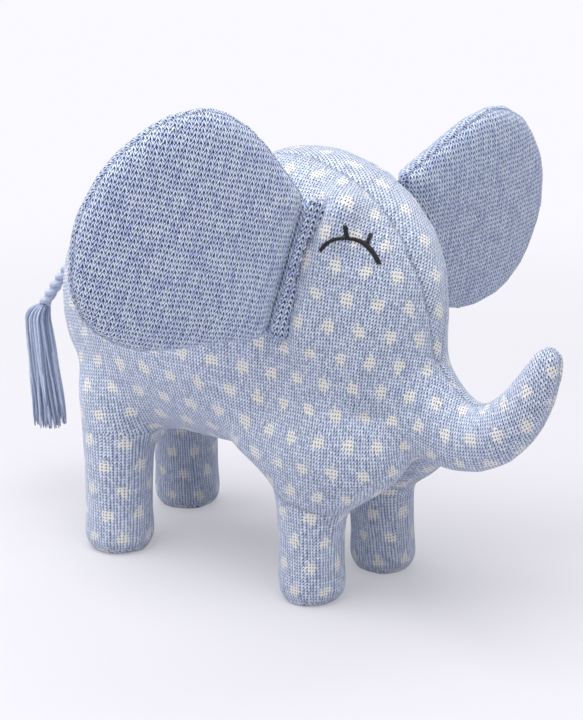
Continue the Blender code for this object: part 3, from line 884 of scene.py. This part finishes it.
    def leg_places(self, points: Array) -> tuple[Array, Array, Array]:
        """Where each point lies on the nearest leg.

        Args:
            points: the skin's points.

        Returns:
            The gap to the leg's cover, the turn from its outer side towards its front, and the place seen
            from its middle.
        """
        best = np.full(len(points), np.inf)
        turn = np.zeros(len(points))
        outside = np.zeros_like(points)
        for end, side, foot_x, foot_y, thigh_x in self.feet:
            fuller = [self.shoulders(side, (foot_x, foot_y), thigh_x)] if end == "front" else []
            gap = gaps_to(node_tree(f"{end}_{side.word}_leg_cover", fuller=fuller), points)
            share = points[:, 2] / self.leg_top
            thigh_y = MID_Y + side.value * self.thigh_spacing
            ahead = points[:, 0] - (foot_x + (thigh_x - foot_x) * share)
            outward = side.value * (points[:, 1] - (foot_y + (thigh_y - foot_y) * share))
            nearer = gap < best
            turn[nearer] = np.arctan2(ahead, outward)[nearer]
            outside[nearer] = np.column_stack([ahead, side.value * outward, np.zeros(len(points))])[nearer]
            best = np.minimum(best, gap)
        return best, turn, outside

    def flared(self, points: Array, outside: Array) -> Array:
        """The skin with each foot a little wider at its lower edge.

        Args:
            points: the skin's points.
            outside: each point's place seen from its leg's middle.

        Returns:
            The new points.
        """
        low = np.clip(1.0 - points[:, 2] / self.flare_height, 0.0, 1.0) ** 2
        rounded = np.clip(1.0 - points[:, 2] / self.foot_edge, 0.0, 1.0)
        drawn_in = self.foot_edge * (1.0 - np.sqrt(1.0 - rounded**2))
        return points + outside * ((self.foot_flare * low + 0.5 * drawn_in) / self.foot_radius)[:, None]

    def fold_heights(self, points: Array, outside: Array) -> Array:
        """The height at which each point's leg folds under the body.

        Args:
            points: the skin's points.
            outside: each point's place seen from its leg's middle.

        Returns:
            A height for each point.
        """
        front = self.leg_folds[0] - self.fold_slope * outside[:, 0]
        return np.where(points[:, 0] > self.fold_split, front, self.leg_folds[1])

    def panel_gaps(self, points: Array, beds: Sequence[Mesh]) -> tuple[dict[Panel, Array], Array, Array]:
        """How far each point is from each cut of the cover.

        Args:
            points: the skin's points.
            beds: the right and the left ear's bed.

        Returns:
            The gaps, by cut, each point's turn about its leg and its place seen from the leg's middle.
        """
        gaps: dict[Panel, Array] = {}
        for side, whole, bed in zip(Side, (Panel.RIGHT_SIDE, Panel.LEFT_SIDE), beds, strict=True):
            nodes = [f"{part}_{side.word}_panel" for part in ("torso", "head", "trunk")]
            gaps[whole] = gaps_to(node_tree(*nodes, fuller=[bed]), points)
        gaps[Panel.UNDERSIDE] = gaps_to(node_tree("belly_gusset"), points)
        gaps[Panel.FOREHEAD] = gaps_to(node_tree("forehead_gusset"), points)
        soles = [f"{end}_{side.word}_sole" for end in ("front", "rear") for side in Side]
        gaps[Panel.SOLES] = gaps_to(node_tree(*soles), points)
        legs, turn, outside = self.leg_places(points)
        inner = -np.cos(turn) * self.foot_radius
        front = points[:, 0] > self.fold_split
        chest = inner - self.chest_share * (np.clip(outside[:, 0] / self.chest_reach, 0.0, 1.0) ** 2) * front
        fold = self.fold_heights(points, outside)
        above = legs + np.maximum(fold - points[:, 2], 0.0)
        below = legs + np.maximum(points[:, 2] - fold, 0.0)
        for side, whole in ((Side.RIGHT, Panel.RIGHT_SIDE), (Side.LEFT, Panel.LEFT_SIDE)):
            beyond = np.maximum(-side.value * (points[:, 1] - MID_Y), 0.0)
            gaps[whole] = np.minimum(gaps[whole], above + beyond + np.maximum(chest, 0.0))
        gaps[Panel.UNDERSIDE] = np.minimum(gaps[Panel.UNDERSIDE], above + np.maximum(-chest, 0.0))
        gaps[Panel.LEG_OUTSIDE] = below + np.maximum(inner, 0.0)
        gaps[Panel.LEG_INSIDE] = below + np.maximum(-inner, 0.0)
        return gaps, turn, outside

    def leg_shifts(self, points: Array, near_fold: Array, sides: Array, leg: Array) -> Array:
        """How far each leg's knit is moved, so that its wales go on from the body's at the fold.

        Args:
            points: the skin's points.
            near_fold: which points lie on a leg's outer side at its fold.
            sides: each point's flat place on the body's side.
            leg: its flat place on the leg.

        Returns:
            A move for each point.
        """
        out = np.zeros_like(leg)
        for _, side, foot_x, _, _ in self.feet:
            own = (side.value * (points[:, 1] - MID_Y) > 0.0) & ((points[:, 0] > self.fold_split) == (foot_x > 0.0))
            out[own] = (sides - leg)[own & near_fold].mean(axis=0)
        return out

    def flat_cuts(self, points: Array, faces: Array, gaps: dict[Panel, Array], turn: Array,
                  outside: Array) -> list[Array]:
        """Lays every cut flat.

        Args:
            points: the skin's points.
            faces: its faces.
            gaps: how far each point is from each cut.
            turn: each point's turn about its leg.
            outside: each point's place seen from its leg's middle.

        Returns:
            For each cut, each point's flat place and its gap.
        """
        seen_from_side = points[:, [0, 2]]
        seen_from_front = np.stack([points[:, 1] - MID_Y, points[:, 2]], axis=1)
        seen_from_below = points[:, [0, 1]]
        targets = {Panel.RIGHT_SIDE: seen_from_side, Panel.LEFT_SIDE: seen_from_side,
                   Panel.FOREHEAD: seen_from_front, Panel.UNDERSIDE: seen_from_below[:, ::-1],
                   Panel.SOLES: seen_from_below}
        radius = self.leg_repeats * DOTTED_KNIT.dot_wales * DOTTED_KNIT.wale / (2 * math.pi)
        rows = points[:, 2] * self.leg_rows
        targets[Panel.LEG_OUTSIDE] = np.column_stack([turn * radius, rows])
        targets[Panel.LEG_INSIDE] = np.column_stack([(turn % (2 * math.pi)) * radius, rows])
        forward = np.clip((points[:, 0] - self.face_from[0]) / (self.face_from[1] - self.face_from[0]), 0.0, 1.0)
        tighter = 1.0 + self.face_tightness * forward**2 * (3.0 - 2.0 * forward)
        flats = {}
        for panel, flat in targets.items():
            if panel not in (Panel.SOLES, Panel.LEG_OUTSIDE, Panel.LEG_INSIDE):
                flat = flattened(points, faces, gaps[panel] < self.allowance, flat)
            if panel in (Panel.RIGHT_SIDE, Panel.LEFT_SIDE):
                flat[:, 0] = self.face_pivot + (flat[:, 0] - self.face_pivot) * tighter
            if panel is Panel.FOREHEAD:
                way = math.radians(self.gusset_turn)
                flat = flat @ np.array([[math.cos(way), math.sin(way)], [-math.sin(way), math.cos(way)]])
            flats[panel] = flat
        on_left = (points[:, 1] > MID_Y)[:, None]
        sides = np.where(on_left, flats[Panel.LEFT_SIDE], flats[Panel.RIGHT_SIDE])
        lift = np.abs(points[:, 2] - self.fold_heights(points, outside))
        near_fold = (lift < self.allowance) & (np.abs(turn) < 0.4)
        shifts = self.leg_shifts(points, near_fold, sides, targets[Panel.LEG_OUTSIDE])
        for panel in (Panel.LEG_OUTSIDE, Panel.LEG_INSIDE):
            flats[panel] = targets[panel] + shifts
        return [np.column_stack([flats[panel], gaps[panel]]) for panel in Panel]

    def build(self, joints: Sequence[dict]) -> bpy.types.Object:
        """Builds and dresses the cover.

        Args:
            joints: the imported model's joints.

        Returns:
            The cover.
        """
        fuller = [self.shoulders(side, (x, y), thigh_x) for end, side, x, y, thigh_x in self.feet if end == "front"]
        beds = self.ear_beds(joints)
        points, faces = remeshed(self.nodes(), self.voxel, fuller + beds)
        relaxer = Relaxer(points, faces)
        gaps, turn, outside = self.panel_gaps(points, beds)
        loose = np.clip((points[:, 2] - 0.4 * MM) / (2.5 * MM), 0.0, 1.0)
        points = self.flared(relaxer.fill(points, self.fillet_rounds, loose), outside)
        points = relaxer.smooth(points, 12, loose)
        points[:, :2] += (1.0 - loose)[:, None] * (relaxer.smooth(points, self.sole_rounds) - points)[:, :2]
        skin = Skin(points, faces, [np.column_stack([points[:, :2], gaps[p]]) for p in Panel])
        skin.sewn = self.seam_weights(points, gaps)
        pins = np.maximum(1.0 - loose, np.exp(-((skin.seam_gap() / (3 * MM)) ** 2)) * skin.sewn)
        points = inflated(points, faces, pins, self.pressure, self.swell_cap)
        points = relaxer.smooth(points, 4, loose)
        points[:, 2] = np.maximum(points[:, 2], 0.0)
        skin.points = points
        skin.cuts = self.flat_cuts(points, faces, gaps, turn, outside)
        skin = skin.finer().grooved(self.seam_depth, self.seam_width)
        bands = gaps_to(node_tree(*(f"{side.word}_ear_root_band" for side in Side)), skin.points)
        pinch = self.band_pinch * np.exp(-((bands / self.band_pinch_width) ** 2))
        skin.points = skin.points - normals_of(skin.points, skin.faces) * pinch[:, None]
        obj = skin.build("sewn_cover", DOTTED_KNIT)
        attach(obj, "body")
        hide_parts(*self.nodes())
        return obj

    def seam_weights(self, points: Array, gaps: dict[Panel, Array]) -> Array:
        """How much each point's nearest seam shows, in its groove and in its painted shade, by the two cuts that meet
        there and its height.

        Args:
            points: the skin's points.
            gaps: how far each point is from each cut.

        Returns:
            A weight for each point, from 0 to 1.
        """
        order = np.argsort(np.stack([gaps[panel] for panel in Panel]), axis=0, kind="stable")[:2]
        on_leg = np.isin(order, (Panel.LEG_OUTSIDE.value, Panel.LEG_INSIDE.value))
        out = np.where(points[:, 2] < self.seam_level, 0.12, 1.0)
        out[on_leg.any(axis=0)] = np.where(points[:, 0] > self.fold_split, 0.7, 0.0)[on_leg.any(axis=0)]
        out[on_leg.all(axis=0) | (order == Panel.SOLES.value).any(axis=0)] = 0.0
        return out


# ---------------------------------------------------------------- ears


@dataclass
class PaddedEar:
    """One ear: a front and a back of plain knit with wadding between, and the ribbed band at its root."""

    side: Side
    voxel: float = 1.9 * MM
    band_voxel: float = 1.1 * MM
    pressure: float = 2.0
    swell_cap: float = 0.8 * MM
    allowance: float = 3.2 * MM
    seam_depth: float = 0.5 * MM
    seam_width: float = 1.1 * MM
    rib_pitch: float = 3.0 * MM
    rib_height: float = 0.8 * MM
    band_end: float = 6.0 * MM
    band_tuck: float = 2.5 * MM
    band_taper: float = 0.45

    def frame(self, joints: Sequence[dict]) -> tuple[Array, Array, Array]:
        """The hinge's middle, its upward line and the way out along the ear.

        Args:
            joints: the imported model's joints.

        Returns:
            A point and two directions.
        """
        joint = next(j for j in joints if j["name"] == f"{self.side.word}_ear_flap")
        middle = np.array(joint["pos_m"])
        upward = np.array(joint["axis"]) * np.sign(joint["axis"][2])
        points, _ = node_mesh(f"{self.side.word}_ear_wadding")
        out = points.mean(axis=0) - middle
        out -= upward * (out @ upward)
        return middle, upward, out / np.linalg.norm(out)

    def build_pad(self, joints: Sequence[dict]) -> bpy.types.Object:
        """Builds the swelling part of the ear.

        Args:
            joints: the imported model's joints.

        Returns:
            The dressed pad.
        """
        word = self.side.word
        nodes = [f"{word}_ear_{piece}" for piece in ("front_panel", "back_panel", "wadding")]
        middle, upward, out = self.frame(joints)
        points, faces = remeshed(nodes, self.voxel)
        relaxer = Relaxer(points, faces)
        front = gaps_to(node_tree(nodes[0]), points)
        back = gaps_to(node_tree(nodes[1]), points)
        points = relaxer.smooth(points, 6)
        reach = (points - middle) @ out
        free = np.clip((reach - 4 * MM) / (8 * MM), 0.0, 1.0)
        flat = np.column_stack([reach, (points - middle) @ upward])
        cuts = [np.column_stack([flattened(points, faces, gap < self.allowance, flat), gap]) for gap in (front, back)]
        skin = Skin(points, faces, cuts, np.ones(len(points)))
        pins = np.maximum(1.0 - free, np.exp(-((skin.seam_gap() / (2.5 * MM)) ** 2)))
        points = inflated(points, faces, pins, self.pressure, self.swell_cap)
        skin.points = relaxer.smooth(points, 3)
        obj = skin.finer().grooved(self.seam_depth, self.seam_width).build(f"{word}_ear_pad", PLAIN_KNIT)
        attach(obj, f"{word}_ear")
        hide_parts(*nodes)
        return obj

    def build_band(self, joints: Sequence[dict]) -> bpy.types.Object:
        """Builds the ribbed band that joins the ear to the head.

        Args:
            joints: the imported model's joints.

        Returns:
            The dressed band.
        """
        word = self.side.word
        node = f"{word}_ear_root_band"
        middle, upward, out = self.frame(joints)
        points, faces = remeshed([node], self.band_voxel)
        relaxer = Relaxer(points, faces)
        points = relaxer.smooth(points, 10)
        normal = np.cross(out, upward)
        across = (points - middle) @ normal
        reach = (points - middle) @ out
        facing = normals_of(points, faces)
        turned = (facing @ out) ** 2
        ribs = turned * np.cos(2 * math.pi * across / self.rib_pitch)
        ribs += (1 - turned) * np.cos(2 * math.pi * reach / self.rib_pitch)
        points = points + facing * (ribs * self.rib_height - 0.3 * MM)[:, None]
        level = (points - middle) @ upward
        tuck = np.clip((np.abs(level) - np.abs(level).max() + self.band_end) / self.band_end, 0.0, 1.0) ** 2
        points = points - out * (tuck * self.band_tuck)[:, None]
        points = points - normal * (across * tuck * self.band_taper)[:, None]
        flats = {"front": (out, across, level), "side": (normal, reach, level), "end": (upward, across, reach)}
        cuts = [np.column_stack([u, v, (1 - (facing @ way) ** 2) * MM]) for way, u, v in flats.values()]
        obj = Skin(points, faces, cuts, np.zeros(len(points))).build(f"{word}_ear_band", PLAIN_KNIT)
        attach(obj, "body")
        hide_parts(node)
        return obj


# ---------------------------------------------------------------- thread and yarn


class Strands:
    """Gathers round strands into one mesh, with a tone for each."""

    def __init__(self, sides: int = 6) -> None:
        """Starts with no strands."""
        self.sides = sides
        self.points: list[Array] = []
        self.faces: list[tuple[int, ...]] = []
        self.tones: list[Array] = []
        self.total = 0

    def add(self, line: Array, radii: Array, tone: float, lobes: tuple[int, float, float] = (0, 0.0, 0.0)) -> None:
        """Adds one strand with closed ends.

        Args:
            line: the points along its middle.
            radii: its radius at each of them.
            tone: its lightness, from 0 to 1.
            lobes: how many finer strands show on it, how deep they are, and their turns for each metre; the tone is
                painted lighter on their crests and darker between them, a painted highlight and shade.
        """
        steps = np.gradient(line, axis=0)
        steps /= np.maximum(np.linalg.norm(steps, axis=1, keepdims=True), 1e-12)
        side = np.cross(steps[0], (0.31, 0.77, 0.55))
        side /= np.linalg.norm(side)
        travelled = np.concatenate([[0.0], np.cumsum(np.linalg.norm(np.diff(line, axis=0), axis=1))])
        angles = np.linspace(0.0, 2 * math.pi, self.sides, endpoint=False)
        tones = []
        for index, (middle, step) in enumerate(zip(line, steps, strict=True)):
            side = side - step * (side @ step)
            side /= np.linalg.norm(side)
            other = np.cross(step, side)
            wave = np.cos(lobes[0] * (angles + lobes[2] * travelled[index])) if lobes[0] else np.zeros(self.sides)
            radius = radii[index] * (1.0 + lobes[1] * wave)
            ring = middle + np.outer(radius * np.cos(angles), side) + np.outer(radius * np.sin(angles), other)
            self.points.append(ring)
            # The tone rises on each lobe's crest and falls between the lobes: a painted highlight and painted shade.
            tones.append(np.clip(tone + 0.22 * wave, 0.0, 1.0))
        count = len(line)
        for ring in range(count - 1):
            for corner in range(self.sides):
                here = self.total + ring * self.sides
                after = (corner + 1) % self.sides
                self.faces.append((here + corner, here + after, here + self.sides + after, here + self.sides + corner))
        self.faces.append(tuple(self.total + c for c in reversed(range(self.sides))))
        self.faces.append(tuple(self.total + (count - 1) * self.sides + c for c in range(self.sides)))
        self.tones += tones
        self.total += count * self.sides

    def build(self, name: str, finish: YarnFinish) -> bpy.types.Object:
        """Makes the object.

        Args:
            name: the piece's name.
            finish: its yarn.

        Returns:
            The dressed object.
        """
        obj = new_object(name, np.concatenate(self.points), self.faces)
        write_numbers(obj.data, "tone", np.concatenate(self.tones))
        obj.data.materials.append(finish.material())
        return obj


@dataclass
class StitchedEye:
    """A closed lid with two lashes in black satin stitch."""

    side: Side
    mid_x: float = 77.0 * MM + SHIFT_X
    mid_z: float = 141.6 * MM
    radius: float = 13.0 * MM
    flatness: float = 1.6
    dip: float = 0.3
    arc: tuple[float, float] = (42.0, 142.0)
    lashes: tuple[tuple[float, float, float], ...] = ((96.0, 4.4 * MM, -0.15), (69.0, 3.6 * MM, 0.02))
    half_width: float = 0.72 * MM
    thread: float = 0.22 * MM
    pitch: float = 0.38 * MM
    rise: float = 0.55 * MM

    def at(self, radius: float, angle: float) -> Array:
        """A place on the lid's drawing, in X and Z."""
        along = radius * math.cos(math.radians(angle))
        over = radius * math.sin(math.radians(angle))
        return np.array([self.mid_x + along, self.mid_z + self.flatness * over - self.dip * along])

    def lines(self) -> list[tuple[Array, float, float]]:
        """The lid and its lashes, each with its half width at start and end."""
        arch = np.array([self.at(self.radius, angle) for angle in np.linspace(*self.arc, 60)])
        out = [(arch, self.half_width, self.half_width)]
        for angle, length, lean in self.lashes:
            way = np.array([lean, 1.0]) / math.hypot(lean, 1.0)
            lash = self.at(self.radius, angle) + np.outer(np.linspace(0.0, length + self.half_width, 16), way)
            out.append((lash, self.half_width * 0.85, self.half_width * 0.8))
        return out

    def build(self, cover: bpy.types.Object) -> bpy.types.Object:
        """Lays the threads on the cover.

        Args:
            cover: the sewn cover that carries the eye.

        Returns:
            The dressed stitching.
        """
        rng = np.random.default_rng(SEED + self.side.value)
        mesh = cover.data
        skin = BVHTree.FromPolygons([v.co for v in mesh.vertices], [tuple(f.vertices) for f in mesh.polygons])
        towards = Vector((0.0, -self.side.value, 0.0))
        strands = Strands(5)
        for line, start_half, end_half in self.lines():
            lengths = np.concatenate([[0.0], np.cumsum(np.linalg.norm(np.diff(line, axis=0), axis=1))])
            count = int(lengths[-1] / self.pitch)
            for place in np.linspace(0.0, lengths[-1], count):
                middle = np.array([np.interp(place, lengths, line[:, axis]) for axis in range(2)])
                ahead = np.array([np.interp(min(place + MM, lengths[-1]), lengths, line[:, axis]) for axis in range(2)])
                behind = np.array([np.interp(max(place - MM, 0.0), lengths, line[:, axis]) for axis in range(2)])
                way = (ahead - behind) / np.linalg.norm(ahead - behind)
                across = np.array([-way[1], way[0]]) + 0.3 * way
                half = start_half + (end_half - start_half) * place / lengths[-1] + rng.normal(0.0, 0.05 * MM)
                self.lay_thread(strands, skin, towards, middle, across, half, rng)
        obj = strands.build(f"{self.side.word}_eye_thread", BLACK_THREAD)
        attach(obj, "body")
        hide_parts(f"{self.side.word}_eye_stitching")
        return obj

    def lay_thread(self, strands: Strands, skin: BVHTree, towards: Vector, middle: Array, across: Array, half: float,
                   rng: np.random.Generator) -> None:
        """Lays one thread over the lid's line.

        Args:
            strands: the gathered threads.
            skin: the cover's faces.
            towards: the way from outside to the cover.
            middle: the thread's middle in X and Z.
            across: the way that it crosses the line.
            half: half its length.
            rng: the source of small differences.
        """
        line = []
        for share in (-1.0, -0.6, 0.0, 0.6, 1.0):
            spot = middle + across * half * share
            hit, normal, _, _ = skin.ray_cast(Vector((spot[0], -0.2 * towards[1], spot[1])), towards)
            lift = self.rise * math.sqrt(max(0.0, 1.0 - share * share)) - 0.1 * MM
            line.append(np.array(hit + normal * lift))
        strands.add(np.array(line), np.full(5, self.thread), 0.3 + 0.5 * rng.random())


@dataclass
class TwistedTail:
    """The two-ply cord, its tie and the tassel of loose yarn."""

    root: tuple[float, float, float] = (-129.85 * MM, MID_Y, 127.49 * MM)
    route: tuple[tuple[float, float], ...] = ((0.0, 0.0), (-7.7, -7.0), (-17.7, -18.0), (-25.7, -28.0))
    cord_radius: float = 3.0 * MM
    cord_start: float = 3.8 * MM
    cord_end: float = 3.0 * MM
    ply_radius: float = 1.65 * MM
    lay_length: float = 12.0 * MM
    tassel_hinge: tuple[float, float, float] = (-160.43 * MM, MID_Y, 93.28 * MM)
    tie_radius: float = 4.6 * MM
    tassel_length: float = 54.0 * MM
    tassel_lean: tuple[float, float] = (-1.6 * MM, 4.0 * MM)
    strand_count: int = 190
    strand_radius: float = 0.6 * MM
    clearance: float = 0.3 * MM

    def centreline(self, count: int = 40) -> Array:
        """The cord's middle line, from the rump to the tie."""
        knots = np.array(self.route) * MM
        lengths = np.concatenate([[0.0], np.cumsum(np.linalg.norm(np.diff(knots, axis=0), axis=1))])
        fit = [np.polynomial.Polynomial.fit(lengths, knots[:, axis], 3) for axis in range(2)]
        along = np.linspace(0.0, lengths[-1], count)
        flat = np.column_stack([curve(along) for curve in fit])
        return np.column_stack([flat[:, 0], np.zeros(count), flat[:, 1]]) + np.array(self.root)

    def build_cord(self) -> tuple[bpy.types.Object, Array, float]:
        """Twists two plies round the middle line.

        Returns:
            The cord, its middle line and its length.
        """
        line = self.centreline()
        first, last = (ends / np.linalg.norm(ends) for ends in (line[0] - line[1], line[-1] - line[-2]))
        further = np.linspace(0.2, 1.0, 5)
        drawn = np.concatenate([line[0] + np.outer(further[::-1] * self.cord_start, first), line,
                                line[-1] + np.outer(further * self.cord_end, last)])
        steps = np.gradient(drawn, axis=0)
        steps /= np.linalg.norm(steps, axis=1, keepdims=True)
        travelled = np.concatenate([[0.0], np.cumsum(np.linalg.norm(np.diff(drawn, axis=0), axis=1))])
        sideways = np.array([0.0, 1.0, 0.0])
        strands = Strands(14)
        left = np.minimum(travelled + 1.6 * MM, travelled[-1] - travelled + 1.2 * MM)
        ends = np.sqrt(np.clip(left / (2.4 * MM), 0.0, 1.0))
        over = np.cross(steps, sideways)
        for ply in range(2):
            turn = 2 * math.pi * travelled / self.lay_length + math.pi * ply
            offset = np.cos(turn)[:, None] * sideways + np.sin(turn)[:, None] * over
            offset *= (self.cord_radius - self.ply_radius) * ends[:, None]
            # The plies' lobes carry a painted highlight on their crests and painted shade between them.
            strands.add(drawn + offset, self.ply_radius * ends, 0.8, (5, 0.14, 420.0))
        length = float(np.linalg.norm(np.diff(line, axis=0), axis=1).sum())
        return strands.build("tail_twist", TAIL_YARN), line, length

    def build_tie(self) -> bpy.types.Object:
        """Winds the tie where the cord becomes the tassel.

        Returns:
            The dressed tie.
        """
        middle = np.array(self.tassel_hinge)
        strands = Strands(10)
        turns = np.linspace(0.0, 2 * math.pi, 90)
        radius = self.tie_radius - 2.2 * MM
        for tilt, tone in ((0.0, 0.7), (1.05, 0.55), (2.1, 0.62)):
            ring = np.column_stack([radius * np.cos(turns), radius * np.sin(turns) * math.cos(tilt),
                                    radius * np.sin(turns) * math.sin(tilt)])
            # The tie's lobes carry a painted highlight on their crests and painted shade between them.
            strands.add(middle + ring, np.full(len(turns), 1.45 * MM), tone, (5, 0.08, 380.0))
        return strands.build("tassel_tie", TAIL_YARN)

    def build_tassel(self) -> bpy.types.Object:
        """Hangs the loose strands below the tie.

        Returns:
            The dressed tassel.
        """
        rng = np.random.default_rng(SEED)
        hinge = np.array(self.tassel_hinge)
        to_cord = self.centreline()[-1] - hinge
        top = hinge + to_cord / np.linalg.norm(to_cord) * self.tie_radius
        strands = Strands(6)
        shares = np.concatenate([np.linspace(0.0, 0.16, 7), np.linspace(0.22, 1.0, 10)])
        full = self.tassel_length + 2 * self.tie_radius + self.clearance
        ease = np.clip(1.0 - shares / 0.13, 0.0, 1.0) ** 2
        for _ in range(self.strand_count):
            angle = rng.uniform(0.0, 2 * math.pi)
            place = math.sqrt(rng.uniform(0.1, 1.0))
            spread = np.interp(shares, (0.0, 0.03, 0.07, 0.13, 0.4, 0.8, 1.0),
                               (2.0, 3.8, 5.0, 5.8, 6.6, 7.2, 7.4)) * MM * place
            length = full * (1.0 - 0.16 * rng.random() ** 1.5)
            sway = 0.8 * MM * np.sin(shares * rng.uniform(3.0, 7.0) + rng.uniform(0.0, 6.0)) * shares
            across = 0.8 * MM * np.sin(shares * rng.uniform(3.0, 7.0) + rng.uniform(0.0, 6.0)) * shares
            sway += np.interp(shares, (0.0, 0.15, 1.0), (0.0, *self.tassel_lean))
            line = np.column_stack([spread * math.cos(angle) + sway, spread * math.sin(angle) + across,
                                    hinge[2] + self.tie_radius - length * shares])
            line[:, :2] += hinge[:2]
            line += np.outer(ease, top - hinge - np.array([0.0, 0.0, self.tie_radius]))
            strands.add(line, self.strand_radius * np.interp(shares, (0.0, 0.9, 1.0), (1.0, 1.0, 0.5)),
                        float(rng.uniform(0.1, 1.0)))
        return strands.build("tassel_yarn", TAIL_YARN)

    def build(self) -> list[bpy.types.Object]:
        """Builds the tail, hangs its pieces on their bodies and hides the nodes that they stand for.

        Returns:
            The cord, the tie and the tassel.
        """
        cord, line, length = self.build_cord()
        tie = self.build_tie()
        tassel = self.build_tassel()
        for piece, body, node in ((cord, "tail", "tail_cord"), (tie, "tassel", "tassel_knot"),
                                  (tassel, "tassel", "tassel_strands")):
            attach(piece, body)
            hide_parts(node)
        return [cord, tie, tassel]


# ---------------------------------------------------------------- studio


@dataclass
class Studio:
    """The plain floor, the soft light and the camera."""

    target: tuple[float, float, float] = (-4.8 * MM, -4.4 * MM, 96.1 * MM)
    camera: tuple[float, float, float] = (443.0 * MM, -588.0 * MM, 316.8 * MM)
    focal: float = 87.45
    sensor: float = 36.0
    floor_colour: Colour = (0.62, 0.61, 0.65)
    floor_glow: float = 0.32
    back_colour: Colour = (0.955, 0.948, 1.0)
    fade: tuple[float, float] = (0.2, 0.8)
    sky_colour: Colour = (0.97, 0.97, 1.0)
    world_strength: float = 0.55
    lamps: tuple[tuple[tuple[float, float, float], float, float], ...] = (
        ((-0.1, -0.25, 1.5), 1.6, 25.5),
        ((0.95, -0.35, 0.9), 0.8, 1.6),
        ((-0.9, -0.7, 0.6), 0.8, 2.2),
    )

    def build_camera(self) -> None:
        """Puts the camera at the viewing angle."""
        data = bpy.data.cameras.new("camera")
        data.sensor_fit = "VERTICAL"
        data.sensor_height = self.sensor
        data.lens = self.focal
        data.clip_start = 0.01
        obj = bpy.data.objects.new("camera", data)
        bpy.context.scene.collection.objects.link(obj)
        obj.location = self.camera
        way = Vector(self.target) - Vector(self.camera)
        obj.rotation_euler = way.to_track_quat("-Z", "Y").to_euler()
        bpy.context.scene.camera = obj

    def build_floor(self) -> None:
        """Lays the pale floor, which keeps the toy's shadow."""
        wide = 6.0
        corners = np.array([(-wide, -wide, 0.0), (wide, -wide, 0.0), (wide, wide, 0.0), (-wide, wide, 0.0)])
        floor = new_object("floor", corners, [(0, 1, 2, 3)])
        tree = Tree("studio_floor")
        tree.set(Base_Color=self.floor_colour, Roughness=0.9, Specular_IOR_Level=0.1)
        self.fade_out(tree)
        floor.data.materials.append(tree.material)

    def fade_out(self, tree: Tree) -> None:
        """Lets the floor run into the pale background far from the toy."""
        nodes, links = tree.tree.nodes, tree.tree.links
        place = nodes.new("ShaderNodeTexCoord")
        reach = nodes.new("ShaderNodeVectorMath")
        reach.operation = "LENGTH"
        links.new(place.outputs["Object"], reach.inputs[0])
        seen = nodes.new("ShaderNodeLightPath")
        share = Wire(tree.tree, reach.outputs["Value"]).ramp(*self.fade) * (1.0 - self.floor_glow) + self.floor_glow
        share = share * self.straight(tree.tree, seen)
        glow = nodes.new("ShaderNodeEmission")
        glow.inputs["Color"].default_value = (*self.back_colour, 1.0)
        mix = nodes.new("ShaderNodeMixShader")
        links.new(share.socket, mix.inputs[0])
        links.new(tree.shader.outputs[0], mix.inputs[1])
        links.new(glow.outputs[0], mix.inputs[2])
        links.new(mix.outputs[0], nodes["Material Output"].inputs["Surface"])

    def straight(self, tree: bpy.types.NodeTree, seen: bpy.types.Node) -> Wire:
        """1 where the camera sees a surface, straight or in a mirror or through glass."""
        ways = [Wire(tree, seen.outputs[f"Is {way} Ray"]) for way in ("Camera", "Glossy", "Transmission")]
        return ways[0].maths("MAXIMUM", ways[1]).maths("MAXIMUM", ways[2])

    def build_light(self) -> None:
        """Sets the sky and the soft lamps."""
        world = bpy.data.worlds.new("studio")
        world.use_nodes = True
        bpy.context.scene.world = world
        tree = world.node_tree
        back = tree.nodes["Background"]
        back.inputs["Color"].default_value = (*self.sky_colour, 1.0)
        back.inputs["Strength"].default_value = self.world_strength
        plain = tree.nodes.new("ShaderNodeBackground")
        plain.inputs["Color"].default_value = (*self.back_colour, 1.0)
        seen = tree.nodes.new("ShaderNodeLightPath")
        mix = tree.nodes.new("ShaderNodeMixShader")
        tree.links.new(self.straight(tree, seen).socket, mix.inputs[0])
        tree.links.new(back.outputs[0], mix.inputs[1])
        tree.links.new(plain.outputs[0], mix.inputs[2])
        tree.links.new(mix.outputs[0], tree.nodes["World Output"].inputs["Surface"])
        for number, (place, size, power) in enumerate(self.lamps):
            data = bpy.data.lights.new(f"lamp{number}", "AREA")
            data.shape = "DISK"
            data.size = size
            data.energy = power
            lamp = bpy.data.objects.new(f"lamp{number}", data)
            bpy.context.scene.collection.objects.link(lamp)
            lamp.location = place
            way = Vector((0.0, 0.0, 0.08)) - Vector(place)
            lamp.rotation_euler = way.to_track_quat("-Z", "Y").to_euler()

    def build(self) -> None:
        """Builds the studio."""
        bpy.context.scene.view_settings.view_transform = "Standard"
        self.build_camera()
        self.build_floor()
        self.build_light()


def report(steps: Sequence[tuple[str, Callable[[], object]]]) -> list[object]:
    """Runs each step and logs it.

    Args:
        steps: a piece's name and what builds it.

    Returns:
        What each step built.
    """
    out = []
    for name, step in steps:
        out.append(step())
        LOG.info("built %s", name)
    return out


def main() -> None:
    """Builds the studio and every piece in order."""
    logging.basicConfig(level=logging.INFO, format="%(name)s: %(message)s")
    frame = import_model()
    report([("studio", Studio().build), ("tail", TwistedTail().build)])
    cover = report([("sewn cover", lambda: SewnCover().build(frame["joints"]))])[0]
    for side in Side:
        ear = PaddedEar(side)
        report([(f"{side.word} ear pad", lambda ear=ear: ear.build_pad(frame["joints"])),
                (f"{side.word} ear band", lambda ear=ear: ear.build_band(frame["joints"])),
                (f"{side.word} eye", lambda side=side: StitchedEye(side).build(cover))])


if __name__ == "__main__":
    main()
